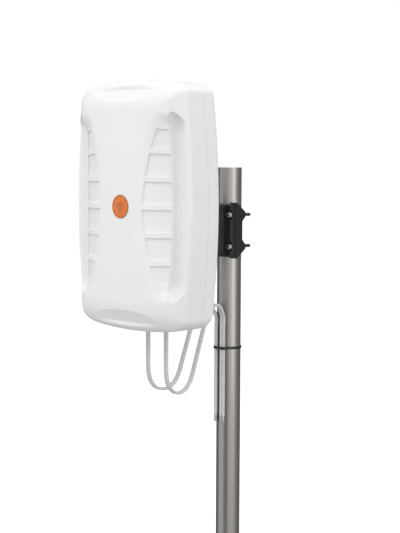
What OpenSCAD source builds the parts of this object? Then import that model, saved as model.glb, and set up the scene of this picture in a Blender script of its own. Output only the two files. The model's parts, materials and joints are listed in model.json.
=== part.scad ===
// Directional MIMO panel antenna on a round mast: two-part radome, crossed radiator boards,
// tilting rear bracket, split mast clamp and two twin coaxial cables tied to the mast.
// Millimetres. The origin is on the mast axis at the mast's foot. +Z is up, the front faces -Y.

/* [Mast] */
// Outside diameter of the mast tube
mast_d = 45; // [42:0.5:48]
// Wall of the mast tube
mast_wall = 2; // [1.5:0.5:4]
// Length of the mast tube
mast_len = 800; // [790:10:1000]

/* [Housing] */
// Width of the housing at its middle height
housing_w = 286; // [280:1:296]
// Height of the housing at its middle
housing_h = 432.5; // [424:0.5:440]
// Height of the housing's centre above the mast's foot
housing_z = 732; // [725:1:740]
// Distance from the mast axis to the middle of the front face
front_reach = 273.6; // [270:0.1:280]
// Distance from the mast axis to the joint between the covers
seam_reach = 204.5; // [202:0.5:207]
// Distance from the mast axis to the flat back
back_reach = 170.5; // [169:0.5:172]
// Wall thickness of both covers
wall = 3.5; // [3:0.1:4]
// Diameter of the round badge
badge_d = 40; // [30:1:44]

/* [Wing recesses] */
// Number of recessed pads in each column
pads = 6; // [4:1:6]
// Height from one pad's top edge to the next one's
pad_pitch = 47.7; // [46:0.1:48]
// Height of the rib between two pads
rib_h = 8.8; // [6:0.1:12]
// Depth of a pad below the ribs
pad_depth = 2.4; // [1:0.1:2.6]

/* [Clamp] */
// Height of the clamp's centre above the mast's foot
clamp_z = 684; // [680:1:690]
// Height of the clamp jaws
jaw_h = 96; // [90:1:100]
// Distance between the upper and the lower clamp bolts
bolt_pitch = 58; // [54:1:62]
// Sideways distance from the mast axis to a clamp bolt
bolt_x = 31; // [31:0.5:32]

/* [Tilt joint] */
// Distance from the mast axis to the tilt pivot
pivot_reach = 120; // [116:1:124]
// Largest tilt either way, in degrees
tilt_limit = 20; // [10:1:22]

/* [Cables] */
// Width of a twin cable
cable_w = 10.4; // [9.6:0.1:10.8]
// Thickness of a twin cable
cable_t = 5.2; // [4.6:0.1:5.4]

/* [Hidden] */

$fn = 64;

mast_r = mast_d / 2;
run_gap = 0.05;     // running clearance of the mast bore, the pivot and the tilting faces
cut = 1;            // how far a cutter passes a face

// Housing outline: a core rectangle with rounded edges round it, then bowed outwards.
half_w = housing_w / 2;
half_h = housing_h / 2;
core_x = 74;
core_z = 161;
edge_x = half_w - core_x;
edge_z = half_h - core_z;
corner_x = 52;      // how far each corner's rounding reaches along an end
corner_z = 19;      // how far it reaches along a side
corner_keep = 0.63; // how much of a corner's rounding is left at the core
corner_power = 0.8; // 1 is an ellipse, smaller is squarer
side_bow = 0.111;   // how much narrower the housing is at its ends
end_bow = 0.046;    // how much lower the housing is at its sides
face_bow = 1.2;     // how far the front face falls back at its ends
side_n = 14;
corner_n = 6;
end_n = 4;

edge_reach = 238.4; // where the front edge's rounding meets the side wall
back_round = 15.8;

// Wing recesses: a column of pads that slopes back, and a rounded groove outside it.
pad_out_x = 107.8;
pad_out_y = -254.4;
pad_out_rise = 4.1; // how much nearer the front the pads' outer edge is at the column's ends
pad_in_x = 51.5;
pad_in_grow = 34;   // how much further out the pads' inner edge is at the column's ends
wing_lead = 16;     // how far inside the pads' inner edge the slope starts, away from the middle
wing_out = 18;      // width over which the slope dies out beyond the pads' outer edge
pads_top = 133.4;   // height of the uppermost pad's top edge above the middle
end_pad_h = 33.5;
groove_x = 117;
groove_in = 19;
groove_out = 22.5;
groove_y = -241.5;
groove_end_x = 104; // the groove's end rises outwards from here
groove_end_z = 142;
groove_end_w = 16;
groove_ramp = 17;   // height over which the groove's floor runs out to the face
scoop_from = 173.5; // height above the middle where a scoop starts on the centreline
scoop_to = 199.5;   // where its lip starts
scoop_lip = 6.5;
scoop_half = 88;
scoop_side = 8;     // width of a scoop's end walls
scoop_arc = 0.0011;
scoop_slope = 0.62;
wing_fade = 30;     // height over which a column's slope dies out beyond its end pads

// Screws that join the covers, as places on the housing's own outline
screw_z = [-158, -56, 56, 158];
screw_inset = 21;
post_r = 8;

// Tilt joint
pivot_y = -pivot_reach;
lug_half = 16 - run_gap;
cheek_in = 16;
cheek_out = 22;
pivot_bolt_r = 4;
lock_r = 30;        // distance from the pivot to the lock bolt
cheek_r = 40;       // radius of the cheek's slotted sector
base_y = -back_reach + 2;
base_t = 5;

// Radiators
array_z = 98;       // height of each array's centre above and below the housing's
plate_y = -190;
plate_t = 2;
board_t = 1.6;
board_rear = -196;
board_tip = -262;
board_rear_half = 80;
board_tip_half = 24;

// Cables
gland_x = 23;
gland_y = -186.5;
gland_z = housing_z - half_h;
cable_top = gland_z - 3.4;
gland_top = gland_z + 8;
cable_end = 342;
tie_z = 464;
split_z = 478;      // height where a cable's stretch that tilts with the housing ends
run_r = mast_r + cable_t / 2 + 0.4;
left_angle = -24.6; // where each cable lies on the mast, measured from the front
right_angle = 16;

// Each cable's route from its gland: x, y, z and the heading of its flat side in degrees
left_route = [
  [-23, gland_y, cable_top, 0], [-23, -186.5, 500, 0], [-23, -186.5, 484, 0], [-23, -186.5, 466, 0],
  [-23, -186.5, 449, 0], [-23, -185, 432, 0], [-22.5, -180, 417, 0], [-21.5, -170.5, 406, 0],
  [-20.5, -158, 400.5, 0], [-19.5, -144, 400, 0], [-19, -131, 405, 0], [-18, -120.5, 415, 0],
  [-17.5, -113, 429, 0], [-17, -107, 446, 0], [-16.5, -101, 463, 0], [-16, -95, 480, 0],
  [-15.5, -89, 497, 0], [-15, -81.5, 514, -2], [-14, -71, 530, -4], [-13, -58, 541, -8],
  [-12, -43.5, 544, -12], [-11, -32, 536, -18], run_point(left_angle, 520), run_point(left_angle, 502),
  run_point(left_angle, 484), run_point(left_angle, 464), run_point(left_angle, 444),
  run_point(left_angle, 420), run_point(left_angle, 396), run_point(left_angle, 374),
  run_point(left_angle, cable_end)
];
right_route = [
  [23, gland_y, cable_top, 0], [23, -186.5, 500, 0], [23, -186.5, 484, 0], [23, -186.5, 466, 0],
  [23, -186.5, 449, 0], [23, -185.5, 431, 0], [22.5, -180.5, 416, 0], [21.5, -170.5, 404, 0],
  [20, -157, 397.5, 0], [18.5, -143, 397.5, 0], [17, -130, 403, 0], [16, -119.5, 413.5, 0],
  [15.5, -112, 428, 0], [15, -105.5, 445, 0], [14.5, -99, 462, 0], [14, -92.5, 479, 0],
  [13.5, -86, 496, 0], [13, -79, 513, 0], [12, -69.5, 530, 0], [10.5, -57, 542.5, 4],
  [9, -43, 546.5, 8], [7.5, -31.5, 539, 12], run_point(right_angle, 523), run_point(right_angle, 504),
  run_point(right_angle, 484), run_point(right_angle, 464), run_point(right_angle, 444),
  run_point(right_angle, 420), run_point(right_angle, 396), run_point(right_angle, 374),
  run_point(right_angle, cable_end)
];

function run_point(a, z) = [run_r * sin(a), -run_r * cos(a), z, a];

// ---------- lofted and swept solids ----------

function flat(lists) = [for (l = lists, p = l) p];
function reversed(l) = [for (i = [len(l) - 1:-1:0]) l[i]];

// Closed solid through rings of equal length; the last ring closes on its own middle point.
module loft(rings) {
  n = len(rings[0]);
  m = len(rings);
  last = rings[m - 1];
  middle = [for (k = [0:2]) (min([for (p = last) p[k]]) + max([for (p = last) p[k]])) / 2];
  points = concat(flat(rings), [[middle.x, last[0].y, middle.z]]);
  sides = [for (j = [0:m - 2], i = [0:n - 1], s = [0, 1])
    let (a = j * n + i, b = j * n + (i + 1) % n)
      s == 0 ? [a, b, b + n] : [a, b + n, a + n]];
  fan = [for (i = [0:n - 1]) [(m - 1) * n + i, (m - 1) * n + (i + 1) % n, m * n]];
  polyhedron(points, concat([[for (i = [n - 1:-1:0]) i]], sides, fan), convexity = 8);
}

// Swept bar along points [x, y, z, heading], with an oval section w wide and t thick.
module sweep(route, w, t, sides_n) {
  n = len(route);
  points = [for (i = [0:n - 1])
    let (
      here = [route[i].x, route[i].y, route[i].z],
      ahead = route[min(i + 1, n - 1)],
      behind = route[max(i - 1, 0)],
      way = unit([ahead.x - behind.x, ahead.y - behind.y, ahead.z - behind.z]),
      flat_way = [cos(route[i][3]), sin(route[i][3]), 0],
      thick_way = unit(cross(way, flat_way)),
      wide_way = unit(cross(thick_way, way))
    )
    each [for (k = [0:sides_n - 1])
      let (a = 360 * (k + 0.5) / sides_n)
        here + wide_way * w / 2 * cos(a) + thick_way * t / 2 * sin(a)]];
  sides = [for (j = [0:n - 2], i = [0:sides_n - 1], s = [0, 1])
    let (a = j * sides_n + i, b = j * sides_n + (i + 1) % sides_n)
      s == 0 ? [a, b, b + sides_n] : [a, b + sides_n, a + sides_n]];
  first = [for (i = [sides_n - 1:-1:0]) i];
  last = [for (i = [0:sides_n - 1]) (n - 1) * sides_n + i];
  polyhedron(points, concat([first], sides, [last]), convexity = 8);
}

function unit(v) = v / norm(v);

// ---------- the housing's outline and front surface ----------

// A quarter of the outline at rounding r: 0 is the core rectangle and 1 the full outline.
function quarter(r) = let (
    x = core_x + edge_x * r,
    z = core_z + edge_z * r,
    k = r + corner_keep * (1 - r),
    a = corner_x * k,
    c = corner_z * k
  ) concat(
  [for (i = [0:side_n - 1]) [x, (z - c) * i / side_n]],
  [for (i = [0:corner_n]) let (t = 90 * i / corner_n)
    [x - a + a * pow(cos(t), corner_power), z - c + c * pow(sin(t), corner_power)]],
  [for (i = [1:end_n]) [(x - a) * (1 - i / end_n), z]]
);

// The whole outline, from the right side round through the top.
function around(r) = let (q = quarter(r), n = len(q)) concat(
  q,
  [for (i = [n - 2:-1:0]) [-q[i].x, q[i].y]],
  [for (i = [1:n - 1]) [-q[i].x, -q[i].y]],
  [for (i = [n - 2:-1:1]) [q[i].x, -q[i].y]]
);

function bowed(p) = [
  p.x * (1 - side_bow * pow(p.y / half_h, 2)),
  p.y * (1 - end_bow * pow(p.x / half_w, 2))
];

// The outline drawn in by a distance, as points in the housing's own plane.
function outline(inset) = [for (p = around(1)) let (b = bowed(p))
  [b.x * (1 - inset / half_w), b.y * (1 - inset / half_h)]];

// Depth of the front face with no recess, at rounding r.
function pillow_y(z, r) = let (bow = face_bow * pow(z / half_h, 2))
  -front_reach + bow + (front_reach - edge_reach - bow) * (1 - sqrt(max(0, 1 - r * r)));

// Sideways place of the pads' inner edge at a height.
function pad_in(z) = pad_in_x + pad_in_grow * pow(abs(z) / pads_top, 1.8);

// A facet that slopes back towards each end of the face, and ends in a short lip
function scoop_depth(x, z, y) = let (start = scoop_from + scoop_arc * pow(x, 2))
  z < start || x > scoop_half ? 0
  : max(0, (-front_reach + scoop_slope * (z - start) - y)) * min(1, (scoop_half - x) / scoop_side)
    * min(1, max(0, (scoop_to + scoop_lip - z) / scoop_lip));

// 1 beside the pads, and 0 once past their column's ends
function wing_share(z) = let (t = min(1, max(0, abs(z) - pads_top) / wing_fade)) (1 - t * t) * (1 - t * t);

function wing_depth(x, z, y) = let (
    from = pad_in(z) - wing_lead * pow(z, 2) / (pow(z, 2) + 1600),
    share = min(1, (x - from) / (pad_out_x - from)),
    beyond = min(1, max(0, pad_out_x + wing_out - x) / wing_out),
    to_y = pad_out_y - pad_out_rise * min(1, pow(z / pads_top, 2))
  ) share <= 0 || abs(z) > pads_top + wing_fade ? 0
  : max(0, to_y - y) * pow(share, 1.5) * wing_share(z) * beyond;

function groove_depth(x, z, y) = let (
    across = (x - groove_x) / (x < groove_x ? groove_in : groove_out),
    end = groove_end_z + 1.5 * min(groove_end_w, max(0, x - groove_end_x)),
    along = min(1, (end - abs(z)) / groove_ramp)
  ) abs(across) >= 1 || along <= 0 || (x <= pad_out_x && abs(z) <= pads_top) ? 0
  : max(0, groove_y - y) * pow(1 - across * across, x < groove_x ? 0.6 : 0.65) * along
    * (x <= pad_out_x ? min(1, (abs(z) - pads_top) / 8) : 1);

// Depth of the front face at a place and its rounding
function front_y(p, r) = let (y = pillow_y(p.y, r), x = abs(p.x))
  y + max(0, wing_depth(x, p.y, y), groove_depth(x, p.y, y), scoop_depth(x, abs(p.y), y));

// Rounding at a distance from the middle, along the sides' straight part
function rounding_at(x) = max(0, (abs(x) - core_x) / edge_x);

// Depth of the recesses below the face with no recess
function sunk(x, z) = let (y = pillow_y(z, rounding_at(x)))
  max(0, wing_depth(x, z, y), groove_depth(x, z, y));

// Depth of the cover's inner face, kept clear of the recesses on every side
function inner_y(p, r) = let (
    x = abs(p.x),
    side = r < 1 && x > pad_in_x - 18 && abs(p.y) < core_z + 4,
    ends = x < scoop_half + 6 && abs(p.y) >= core_z + 4 && abs(p.y) < scoop_to + scoop_lip
  ) pillow_y(p.y, r) + wall + (ends ? 3 : 0)
  + (side ? 1 + max([for (dx = [-9:3:9], dz = [-7:7:7]) sunk(min(x + dx, half_w - 1), p.y + dz)]) : 0);

function to_space(p, y) = [p.x, y, housing_z + p.y];

// Rings of the front cover's skin, from the joint to the middle of the front.
rounding = [1, 0.985, 0.95, 0.9, 0.845, 0.78, 0.71, 0.62, 0.535, 0.498, 0.485, 0.32, 0.15, 0];
function front_rings(inset) = let (k = [1 - inset / half_w, 1 - inset / half_h]) concat(
  [[for (p = outline(inset)) to_space(p, -seam_reach + (inset > 0 ? cut : 0))]],
  [for (r = rounding) [for (p = around(r)) let (b = bowed(p))
    to_space([b.x * k.x, b.y * k.y], inset > 0 ? inner_y(p, r) : front_y(p, r))]],
  [for (s = [0.86, 0.73, 0.4]) [for (p = around(0)) let (b = bowed(p * s))
    to_space([b.x * k.x, b.y * k.y], inset > 0 ? inner_y(p * s, 0) : front_y(p * s, 0))]]
);

function rear_rings(inset) = concat(
  [[for (p = outline(inset)) to_space(p, -seam_reach - (inset > 0 ? cut : 0))]],
  [for (a = [0, 25, 50, 70, 90]) let (
      r = back_round - inset,
      y = -back_reach - back_round + r * sin(a),
      in = inset + r * (1 - cos(a))
    ) [for (p = outline(in)) to_space(p, y)]]
);

// Half the housing's width at a height above its middle.
function side_at(z) = half_w * (1 - side_bow * pow(z / half_h, 2));

// Puts children at each place where a screw joins the covers, pointing along +Y, with +X outwards.
module at_cover_screws(y) {
  for (z = screw_z) {
    at_right_screw(y, z) children();
    mirror([1, 0, 0]) at_right_screw(y, z) children();
  }
}

module at_right_screw(y, z) {
  translate([side_at(z) - screw_inset, y, housing_z + z]) rotate([-90, 0, 0]) children();
}

// Screw post with a web to the side wall
module post(h) {
  cylinder(r = post_r, h = h);
  translate([0, -2.5, 0]) cube([screw_inset - 2.9, 5, h]);
}

module along_y(p, r, y0, y1) {
  translate([p.x, y0, p.y]) rotate([-90, 0, 0]) cylinder(r = r, h = y1 - y0);
}

module along_x(p, r, x0, x1, sides = 64) {
  translate([x0, p.x, p.y]) rotate([0, 90, 0]) cylinder(r = r, h = x1 - x0, $fn = sides);
}

// ---------- mast and clamp ----------

module mast_tube() {
  color("silver") difference() {
    cylinder(r = mast_r, h = mast_len);
    translate([0, 0, -cut]) cylinder(r = mast_r - mast_wall, h = mast_len + 2 * cut);
  }
}

clamp_low = clamp_z - jaw_h / 2;
rear_half = jaw_h / 2 + 3.3; // half the height of the rear jaw
bolt_z = [clamp_z - bolt_pitch / 2, clamp_z + bolt_pitch / 2];
ear_x = 38;         // outer side of the jaws' ears
ear_front = -39;
split_front = -26;  // rear face of the front jaw's ears
split_rear = -24;   // front face of the rear jaw
seat_y = -33;       // floor of the bolt heads' notches
bolt_r = 3;
head_af = 10;
head_h = 4;
washer_t = 1.4;
washer_r = 6.2;
bolt_tip = 22;
insert_r = 4;
insert_y = [-15, -5];

module at_bolts() {
  for (s = [-1, 1], z = bolt_z) translate([s * bolt_x, 0, z]) children();
}

module mast_bore() {
  translate([0, 0, clamp_low - 20]) cylinder(r = mast_r + run_gap, h = jaw_h + 40);
}

module tilt_lug() {
  translate([-lug_half, pivot_y, clamp_z - 15]) cube([2 * lug_half, 60, 30]);
  along_x([pivot_y, clamp_z], 15, -lug_half, lug_half);
}

module clamp_front_jaw() {
  color([0.1, 0.1, 0.1]) difference() {
    union() {
      translate([-ear_x, ear_front, clamp_low]) cube([2 * ear_x, split_front - ear_front, jaw_h]);
      translate([-24, -66, clamp_low + 2]) cube([48, 30, jaw_h - 4]);
      translate([-22, -30, clamp_low]) cube([44, 17, jaw_h]);
      tilt_lug();
    }
    mast_bore();
    at_bolts() along_y([0, 0], bolt_r + 0.3, ear_front - cut, split_front + cut);
    for (s = [-1, 1], z = bolt_z)
      translate([s > 0 ? 24 : -ear_x - cut, ear_front - cut, z - 9])
        cube([ear_x - 24 + cut, seat_y - ear_front + cut, 18]);
    for (s = [-1, 1], z = [clamp_low - cut, clamp_low + jaw_h - 9])
      translate([s * bolt_x - 1.5, ear_front - cut, z]) cube([3, 4 + cut, 9 + cut]);
    for (s = [-1, 1], z = [-11, 0, 11])
      translate([s > 0 ? 24 : -ear_x - cut, ear_front - cut, clamp_z + z - 1.5])
        cube([ear_x - 24 + cut, 1.2 + cut, 3]);
    for (y = [pivot_y, pivot_y + lock_r]) along_x([y, clamp_z], pivot_bolt_r + run_gap, -20, 20);
  }
}

// Side view of the rear jaw's ears, as [y, z from the clamp's centre]
ear_side = [
  [split_rear, -rear_half], [-20, -rear_half], [3, -34], [3, -26], [-7, -15],
  [-7, 15], [3, 26], [3, 34], [-20, rear_half], [split_rear, rear_half]
];
// Plan view of the rear jaw's wrap round the mast
wrap_plan = [
  [-37, split_rear], [37, split_rear], [30, -7], [21.5, 12.5], [8, 27], [-8, 27], [-21.5, 12.5], [-30, -7]
];

module clamp_rear_jaw() {
  color([0.1, 0.1, 0.1]) difference() {
    union() {
      translate([0, 0, clamp_z - 36]) linear_extrude(72) polygon(wrap_plan);
      for (x = [-ear_x, ear_x - 14])
        translate([x, 0, clamp_z]) rotate([90, 0, 90]) linear_extrude(14) polygon(ear_side);
    }
    mast_bore();
    translate([-22.4, -40, clamp_z - rear_half - cut]) cube([44.8, 27.3, 2 * (rear_half + cut)]);
    at_bolts() {
      along_y([0, 0], bolt_r + 0.3, split_rear - cut, bolt_tip);
      along_y([0, 0], insert_r, insert_y[0], insert_y[1]);
    }
  }
}

module clamp_bolts() {
  color("silver") at_bolts() {
    along_y([0, 0], bolt_r, seat_y - washer_t, bolt_tip);
    translate([0, seat_y - washer_t - head_h, 0]) rotate([-90, 0, 0])
      cylinder(r = head_af / 2 / cos(30), h = head_h, $fn = 6);
  }
}

module clamp_washers() {
  color("gainsboro") at_bolts() difference() {
    along_y([0, 0], washer_r, seat_y - washer_t, seat_y);
    along_y([0, 0], bolt_r + 0.2, seat_y - washer_t - cut, seat_y + cut);
  }
}

module clamp_inserts() {
  color("goldenrod") at_bolts() difference() {
    along_y([0, 0], insert_r, insert_y[0], insert_y[1]);
    along_y([0, 0], bolt_r, insert_y[0] - cut, insert_y[1] + cut);
  }
}

// ---------- tilt joint ----------

tilt_axes = [[pivot_y, clamp_z], [pivot_y + lock_r, clamp_z]];
tilt_washer_t = 1.6;
tilt_face = cheek_out + run_gap + tilt_washer_t;
tilt_af = 13;
tilt_bolt_end = 33;

module tilt_bolt(p) {
  along_x(p, pivot_bolt_r, -tilt_face, tilt_bolt_end);
  along_x(p, tilt_af / 2 / cos(30), -tilt_face - 5.3, -tilt_face, 6);
}

module tilt_pivot_bolt() {
  color("silver") tilt_bolt(tilt_axes[0]);
}

module tilt_lock_bolt() {
  color("silver") tilt_bolt(tilt_axes[1]);
}

module tilt_washers() {
  color("gainsboro") for (p = tilt_axes, s = [-1, 1]) difference() {
    along_x(p, 8, s > 0 ? cheek_out + run_gap : -tilt_face, s > 0 ? tilt_face : -cheek_out - run_gap);
    along_x(p, pivot_bolt_r + 0.2, -40, 40);
  }
}

module tilt_nuts() {
  color("silver") for (p = tilt_axes) difference() {
    along_x(p, tilt_af / 2 / cos(30), tilt_face, tilt_face + 6.5, 6);
    along_x(p, pivot_bolt_r, tilt_face - cut, tilt_face + 7.5);
  }
}

// Cheek in side view: y towards the mast from the pivot, z from the clamp's centre
module cheek_shape() {
  reach = base_y + base_t - 2 - pivot_y;
  difference() {
    union() {
      polygon([[reach, -42], [reach, 42], [0, 22], [0, -22]]);
      circle(r = 22);
      intersection() {
        circle(r = cheek_r);
        polygon([[0, 0], [60, -44], [60, 44]]);
      }
    }
    circle(r = pivot_bolt_r + run_gap);
    intersection() {
      difference() {
        circle(r = lock_r + pivot_bolt_r + 0.1);
        circle(r = lock_r - pivot_bolt_r - 0.1);
      }
      polygon([[0, 0], [60, -60 * tan(tilt_limit)], [60, 60 * tan(tilt_limit)]]);
    }
    for (a = [-tilt_limit, tilt_limit])
      translate([lock_r * cos(a), lock_r * sin(a)]) circle(r = pivot_bolt_r + 0.1);
  }
}

bracket_screw_x = 31;
bracket_screw_z = 38;

module at_bracket_screws() {
  for (x = [-bracket_screw_x, bracket_screw_x], z = [-bracket_screw_z, bracket_screw_z])
    translate([x, 0, clamp_z + z]) children();
}

module tilt_bracket() {
  color([0.12, 0.12, 0.12]) difference() {
    union() {
      translate([-42, base_y, clamp_z - 50]) cube([84, base_t, 100]);
      for (x = [-cheek_out, cheek_in])
        translate([x, pivot_y, clamp_z]) rotate([90, 0, 90]) linear_extrude(cheek_out - cheek_in) cheek_shape();
    }
    at_bracket_screws() along_y([0, 0], 2.8, base_y - cut, base_y + base_t + cut);
  }
}

bracket_insert_end = -184;

module bracket_screws() {
  color("silver") at_bracket_screws() {
    along_y([0, 0], 2.5, bracket_insert_end + 2, base_y + base_t);
    difference() {
      along_y([0, 0], 4.25, base_y + base_t, base_y + base_t + 5);
      translate([0, base_y + base_t + 2.5, 0]) rotate([-90, 0, 0])
        cylinder(r = 2 / cos(30), h = 5, $fn = 6);
    }
  }
}

module bracket_inserts() {
  color("goldenrod") at_bracket_screws() difference() {
    along_y([0, 0], 3.5, bracket_insert_end, base_y);
    along_y([0, 0], 2.55, bracket_insert_end - cut, base_y + cut);
  }
}

// ---------- housing ----------

post_seat = -190;   // floor of the counterbores for the cover screws
cover_screw_r = 2;
cover_screw_tip = -226;
plate_screws = [[-70, -165], [70, -165], [-70, 0], [70, 0], [-70, 165], [70, 165]];

module at_plate_screws(y) {
  for (p = plate_screws) translate([p.x, y, housing_z + p.y]) rotate([-90, 0, 0]) children();
}

// Rounded slot through the housing's bottom wall for a cable gland
module gland_slot(x, half_long, half_short, z0, z1) {
  translate([x, gland_y, z0]) linear_extrude(z1 - z0) union() {
    for (s = [-1, 1]) translate([s * (half_long - half_short), 0]) circle(r = half_short);
    square([2 * (half_long - half_short), 2 * half_short], center = true);
  }
}

vent_at = [0, -188.5];
boss_top = gland_z + 5;

module rear_cover() {
  color([0.93, 0.93, 0.92]) difference() {
    union() {
      difference() {
        loft(rear_rings(0));
        loft(rear_rings(wall));
      }
      translate([-44, -back_reach - wall, clamp_z - 52]) cube([88, wall + 2, 104]);
      translate([-34, -201, gland_z]) cube([68, 24, boss_top - gland_z]);
      at_cover_screws(-seam_reach) post(seam_reach - back_reach - back_round);
      at_cover_screws(-back_reach - back_round - cut) cylinder(r = post_r, h = back_round + 0.5);
      at_plate_screws(plate_y + plate_t) cylinder(r = 5, h = -plate_y - plate_t - back_reach - 1);
      at_bracket_screws() along_y([0, 0], 6, bracket_insert_end, -back_reach);
    }
    at_cover_screws(post_seat) cylinder(r = 4.6, h = 30);
    at_cover_screws(-seam_reach - cut) cylinder(r = cover_screw_r + 0.3, h = 40);
    at_plate_screws(plate_y) cylinder(r = 1.6, h = 10);
    at_bracket_screws() along_y([0, 0], 3.5, bracket_insert_end - cut, -back_reach + 5);
    for (s = [-1, 1]) gland_slot(s * gland_x, 7.1, 4.6, gland_z - 5, gland_z + 12);
    translate([vent_at.x, vent_at.y, gland_z - 5]) cylinder(r = 6.1, h = 20);
    difference() {
      translate([0, -seam_reach - cut, 0]) seal_band(1.0, 1.8 + cut);
      translate([0, -seam_reach - 2 * cut, 0]) seal_band(2.8, 1.8 + 3 * cut);
    }
  }
}

// The outline drawn in by a distance, as a slab that starts at y = 0
module seal_band(inset, thick) {
  translate([0, thick, housing_z]) rotate([90, 0, 0]) linear_extrude(thick) polygon(outline(inset));
}

module cover_seal() {
  color([0.25, 0.25, 0.26]) difference() {
    translate([0, -seam_reach, 0]) seal_band(1.1, 1.7);
    translate([0, -seam_reach - cut, 0]) seal_band(2.7, 1.7 + 2 * cut);
  }
}

// Cutter that sinks one pad below the sloping surface between two heights, on one side
module pad_cut(z0, z1, side) {
  steps = 6;
  function place(z, i) = let (x = pad_in(z) + 0.8 + (pad_out_x - 1.6 - pad_in(z)) * i / steps) [x, z];
  function corner(p, y) = let (b = bowed(p)) to_space([side * b.x, b.y], y);
  floor_rows = [for (z = [z0, z1]) [for (i = [0:steps]) let (p = place(z, i))
    corner(p, front_y(p, rounding_at(p.x)) + pad_depth)]];
  roof_rows = [for (z = [z0, z1]) [for (i = [0:steps]) corner(place(z, i), -front_reach - 5)]];
  rows = concat(floor_rows, reversed(roof_rows));
  n = steps + 1;
  points = flat(rows);
  strips = [for (j = [0:3], i = [0:steps - 1], s = [0, 1])
    let (a = j * n + i, b = ((j + 1) % 4) * n + i)
      s == 0 ? [a, a + 1, b + 1] : [a, b + 1, b]];
  caps = [[0, n, 2 * n, 3 * n], [3 * n + steps, 2 * n + steps, n + steps, steps]];
  faces = concat(strips, caps);
  polyhedron(points, side > 0 ? faces : [for (f = faces) reversed(f)], convexity = 4);
}

// Heights of each pad's top and bottom edge above the housing's middle
function pad_top(k) = k == 0 ? pads_top : pads_top - end_pad_h - rib_h - pad_pitch * (k - 1);
function pad_bottom(k) = k == 0 || k == pads - 1 ? pad_top(k) - end_pad_h : pad_top(k) - pad_pitch + rib_h;

module front_cover() {
  color([0.93, 0.93, 0.92]) difference() {
    union() {
      difference() {
        loft(reversed_rings(front_rings(0)));
        loft(reversed_rings(front_rings(wall)));
      }
      at_cover_screws(-seam_reach - 24) post(24);
    }
    at_cover_screws(-seam_reach - 20) cylinder(r = cover_screw_r + 0.05, h = 21);
    for (k = [0:pads - 1], side = [-1, 1]) pad_cut(pad_bottom(k), pad_top(k), side);
    along_y([0, housing_z], badge_d / 2 + 0.1, -front_reach - cut, -front_reach + 1);
  }
}

function reversed_rings(rings) = [for (ring = rings) reversed(ring)];

module cover_screws() {
  color("silver") {
    at_cover_screws(-seam_reach - 18) cylinder(r = cover_screw_r, h = seam_reach + 18 + post_seat);
    at_cover_screws(post_seat) difference() {
      cylinder(r = 4, h = 3);
      translate([0, 0, 1.2]) cylinder(r = 1.5 / cos(30), h = 3, $fn = 6);
    }
  }
}

module badge() {
  color("darkorange") difference() {
    along_y([0, housing_z], badge_d / 2, -front_reach - 1.2, -front_reach + 1);
    along_y([0, housing_z], badge_d / 2 - 1.4, -front_reach - 1.2 - cut, -front_reach - 0.8);
  }
}

module vent_plug() {
  color([0.3, 0.3, 0.3]) translate([vent_at.x, vent_at.y, 0]) difference() {
    union() {
      translate([0, 0, gland_z - 2]) cylinder(r = 9, h = 2);
      translate([0, 0, gland_z]) cylinder(r = 6, h = 12);
      translate([0, 0, boss_top + 0.1]) cylinder(r = 7, h = 2.4);
    }
    translate([0, 0, gland_z - 3]) cylinder(r = 2, h = 12);
  }
}

// ---------- radiators ----------

centres = [housing_z + array_z, housing_z - array_z];

module reflector_plate() {
  color("lightgray") difference() {
    union() {
      translate([-92, plate_y, housing_z - 185]) cube([184, plate_t, 370]);
      for (x = [-92, 90]) translate([x, plate_y - 14, housing_z - 150]) cube([2, 14, 300]);
    }
    at_plate_screws(plate_y - cut) cylinder(r = 1.7, h = 5);
    for (z = centres) at_base_screws(z) along_y([0, 0], 1.7, plate_y - cut, plate_y + 5);
    for (s = [-1, 1]) translate([s * gland_x - 10, plate_y - cut, housing_z - 186]) cube([20, 5, 12]);
  }
}

module reflector_screws() {
  color("silver") at_plate_screws(plate_y) {
    cylinder(r = 1.5, h = 9);
    translate([0, 0, -2]) cylinder(r = 2.8, h = 2);
  }
}

// Puts children on a board's own plane: +X across the board, seen from the front
module on_board(z, turn) {
  translate([0, 0, z]) rotate([0, turn, 0]) children();
}

board_plan = [
  [-board_rear_half, board_rear], [board_rear_half, board_rear],
  [board_tip_half, board_tip], [-board_tip_half, board_tip]
];
board_middle = (board_rear + board_tip) / 2;

// A board slotted from its front (part = 1) or its rear (part = -1)
module board(z, turn, part) {
  color([0.1, 0.35, 0.2]) on_board(z, turn) difference() {
    translate([0, 0, -board_t / 2]) linear_extrude(board_t) polygon(board_plan);
    translate([-0.9, part > 0 ? board_tip - cut : board_middle - 0.1, -2])
      cube([1.8, (board_rear - board_tip) / 2 + cut, 4]);
  }
}

module upper_board_plus() { board(centres[0], 45, 1); }
module upper_board_minus() { board(centres[0], -45, -1); }
module lower_board_plus() { board(centres[1], 45, 1); }
module lower_board_minus() { board(centres[1], -45, -1); }

element_t = 0.3;
arms = 8;

// Copper feeder line and graded dipole arms on one face of a board
module copper_face(side) {
  off = side > 0 ? board_t / 2 : -board_t / 2 - element_t;
  translate([0, 0, off]) linear_extrude(element_t) scale([side, 1]) {
    translate([1.6, board_tip + 2]) square([3, board_rear - board_tip - 4]);
    for (i = [0:arms - 1])
      let (share = i / (arms - 1), y = board_tip + 4 + 56 * (1 - pow(1 - share, 1.25)))
        translate([4, y]) square([(board_tip_half - 8) + 50 * pow(share, 1.2), 2 + 2 * share]);
  }
}

module elements(z) {
  color("peru") for (turn = [-45, 45], side = [-1, 1]) on_board(z, turn) copper_face(side);
}

module upper_elements() { elements(centres[0]); }
module lower_elements() { elements(centres[1]); }

base_r = 30;
base_screw_r = 22;

module at_base_screws(z) {
  for (a = [0:90:270]) translate([base_screw_r * cos(a), 0, z + base_screw_r * sin(a)]) children();
}

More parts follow.
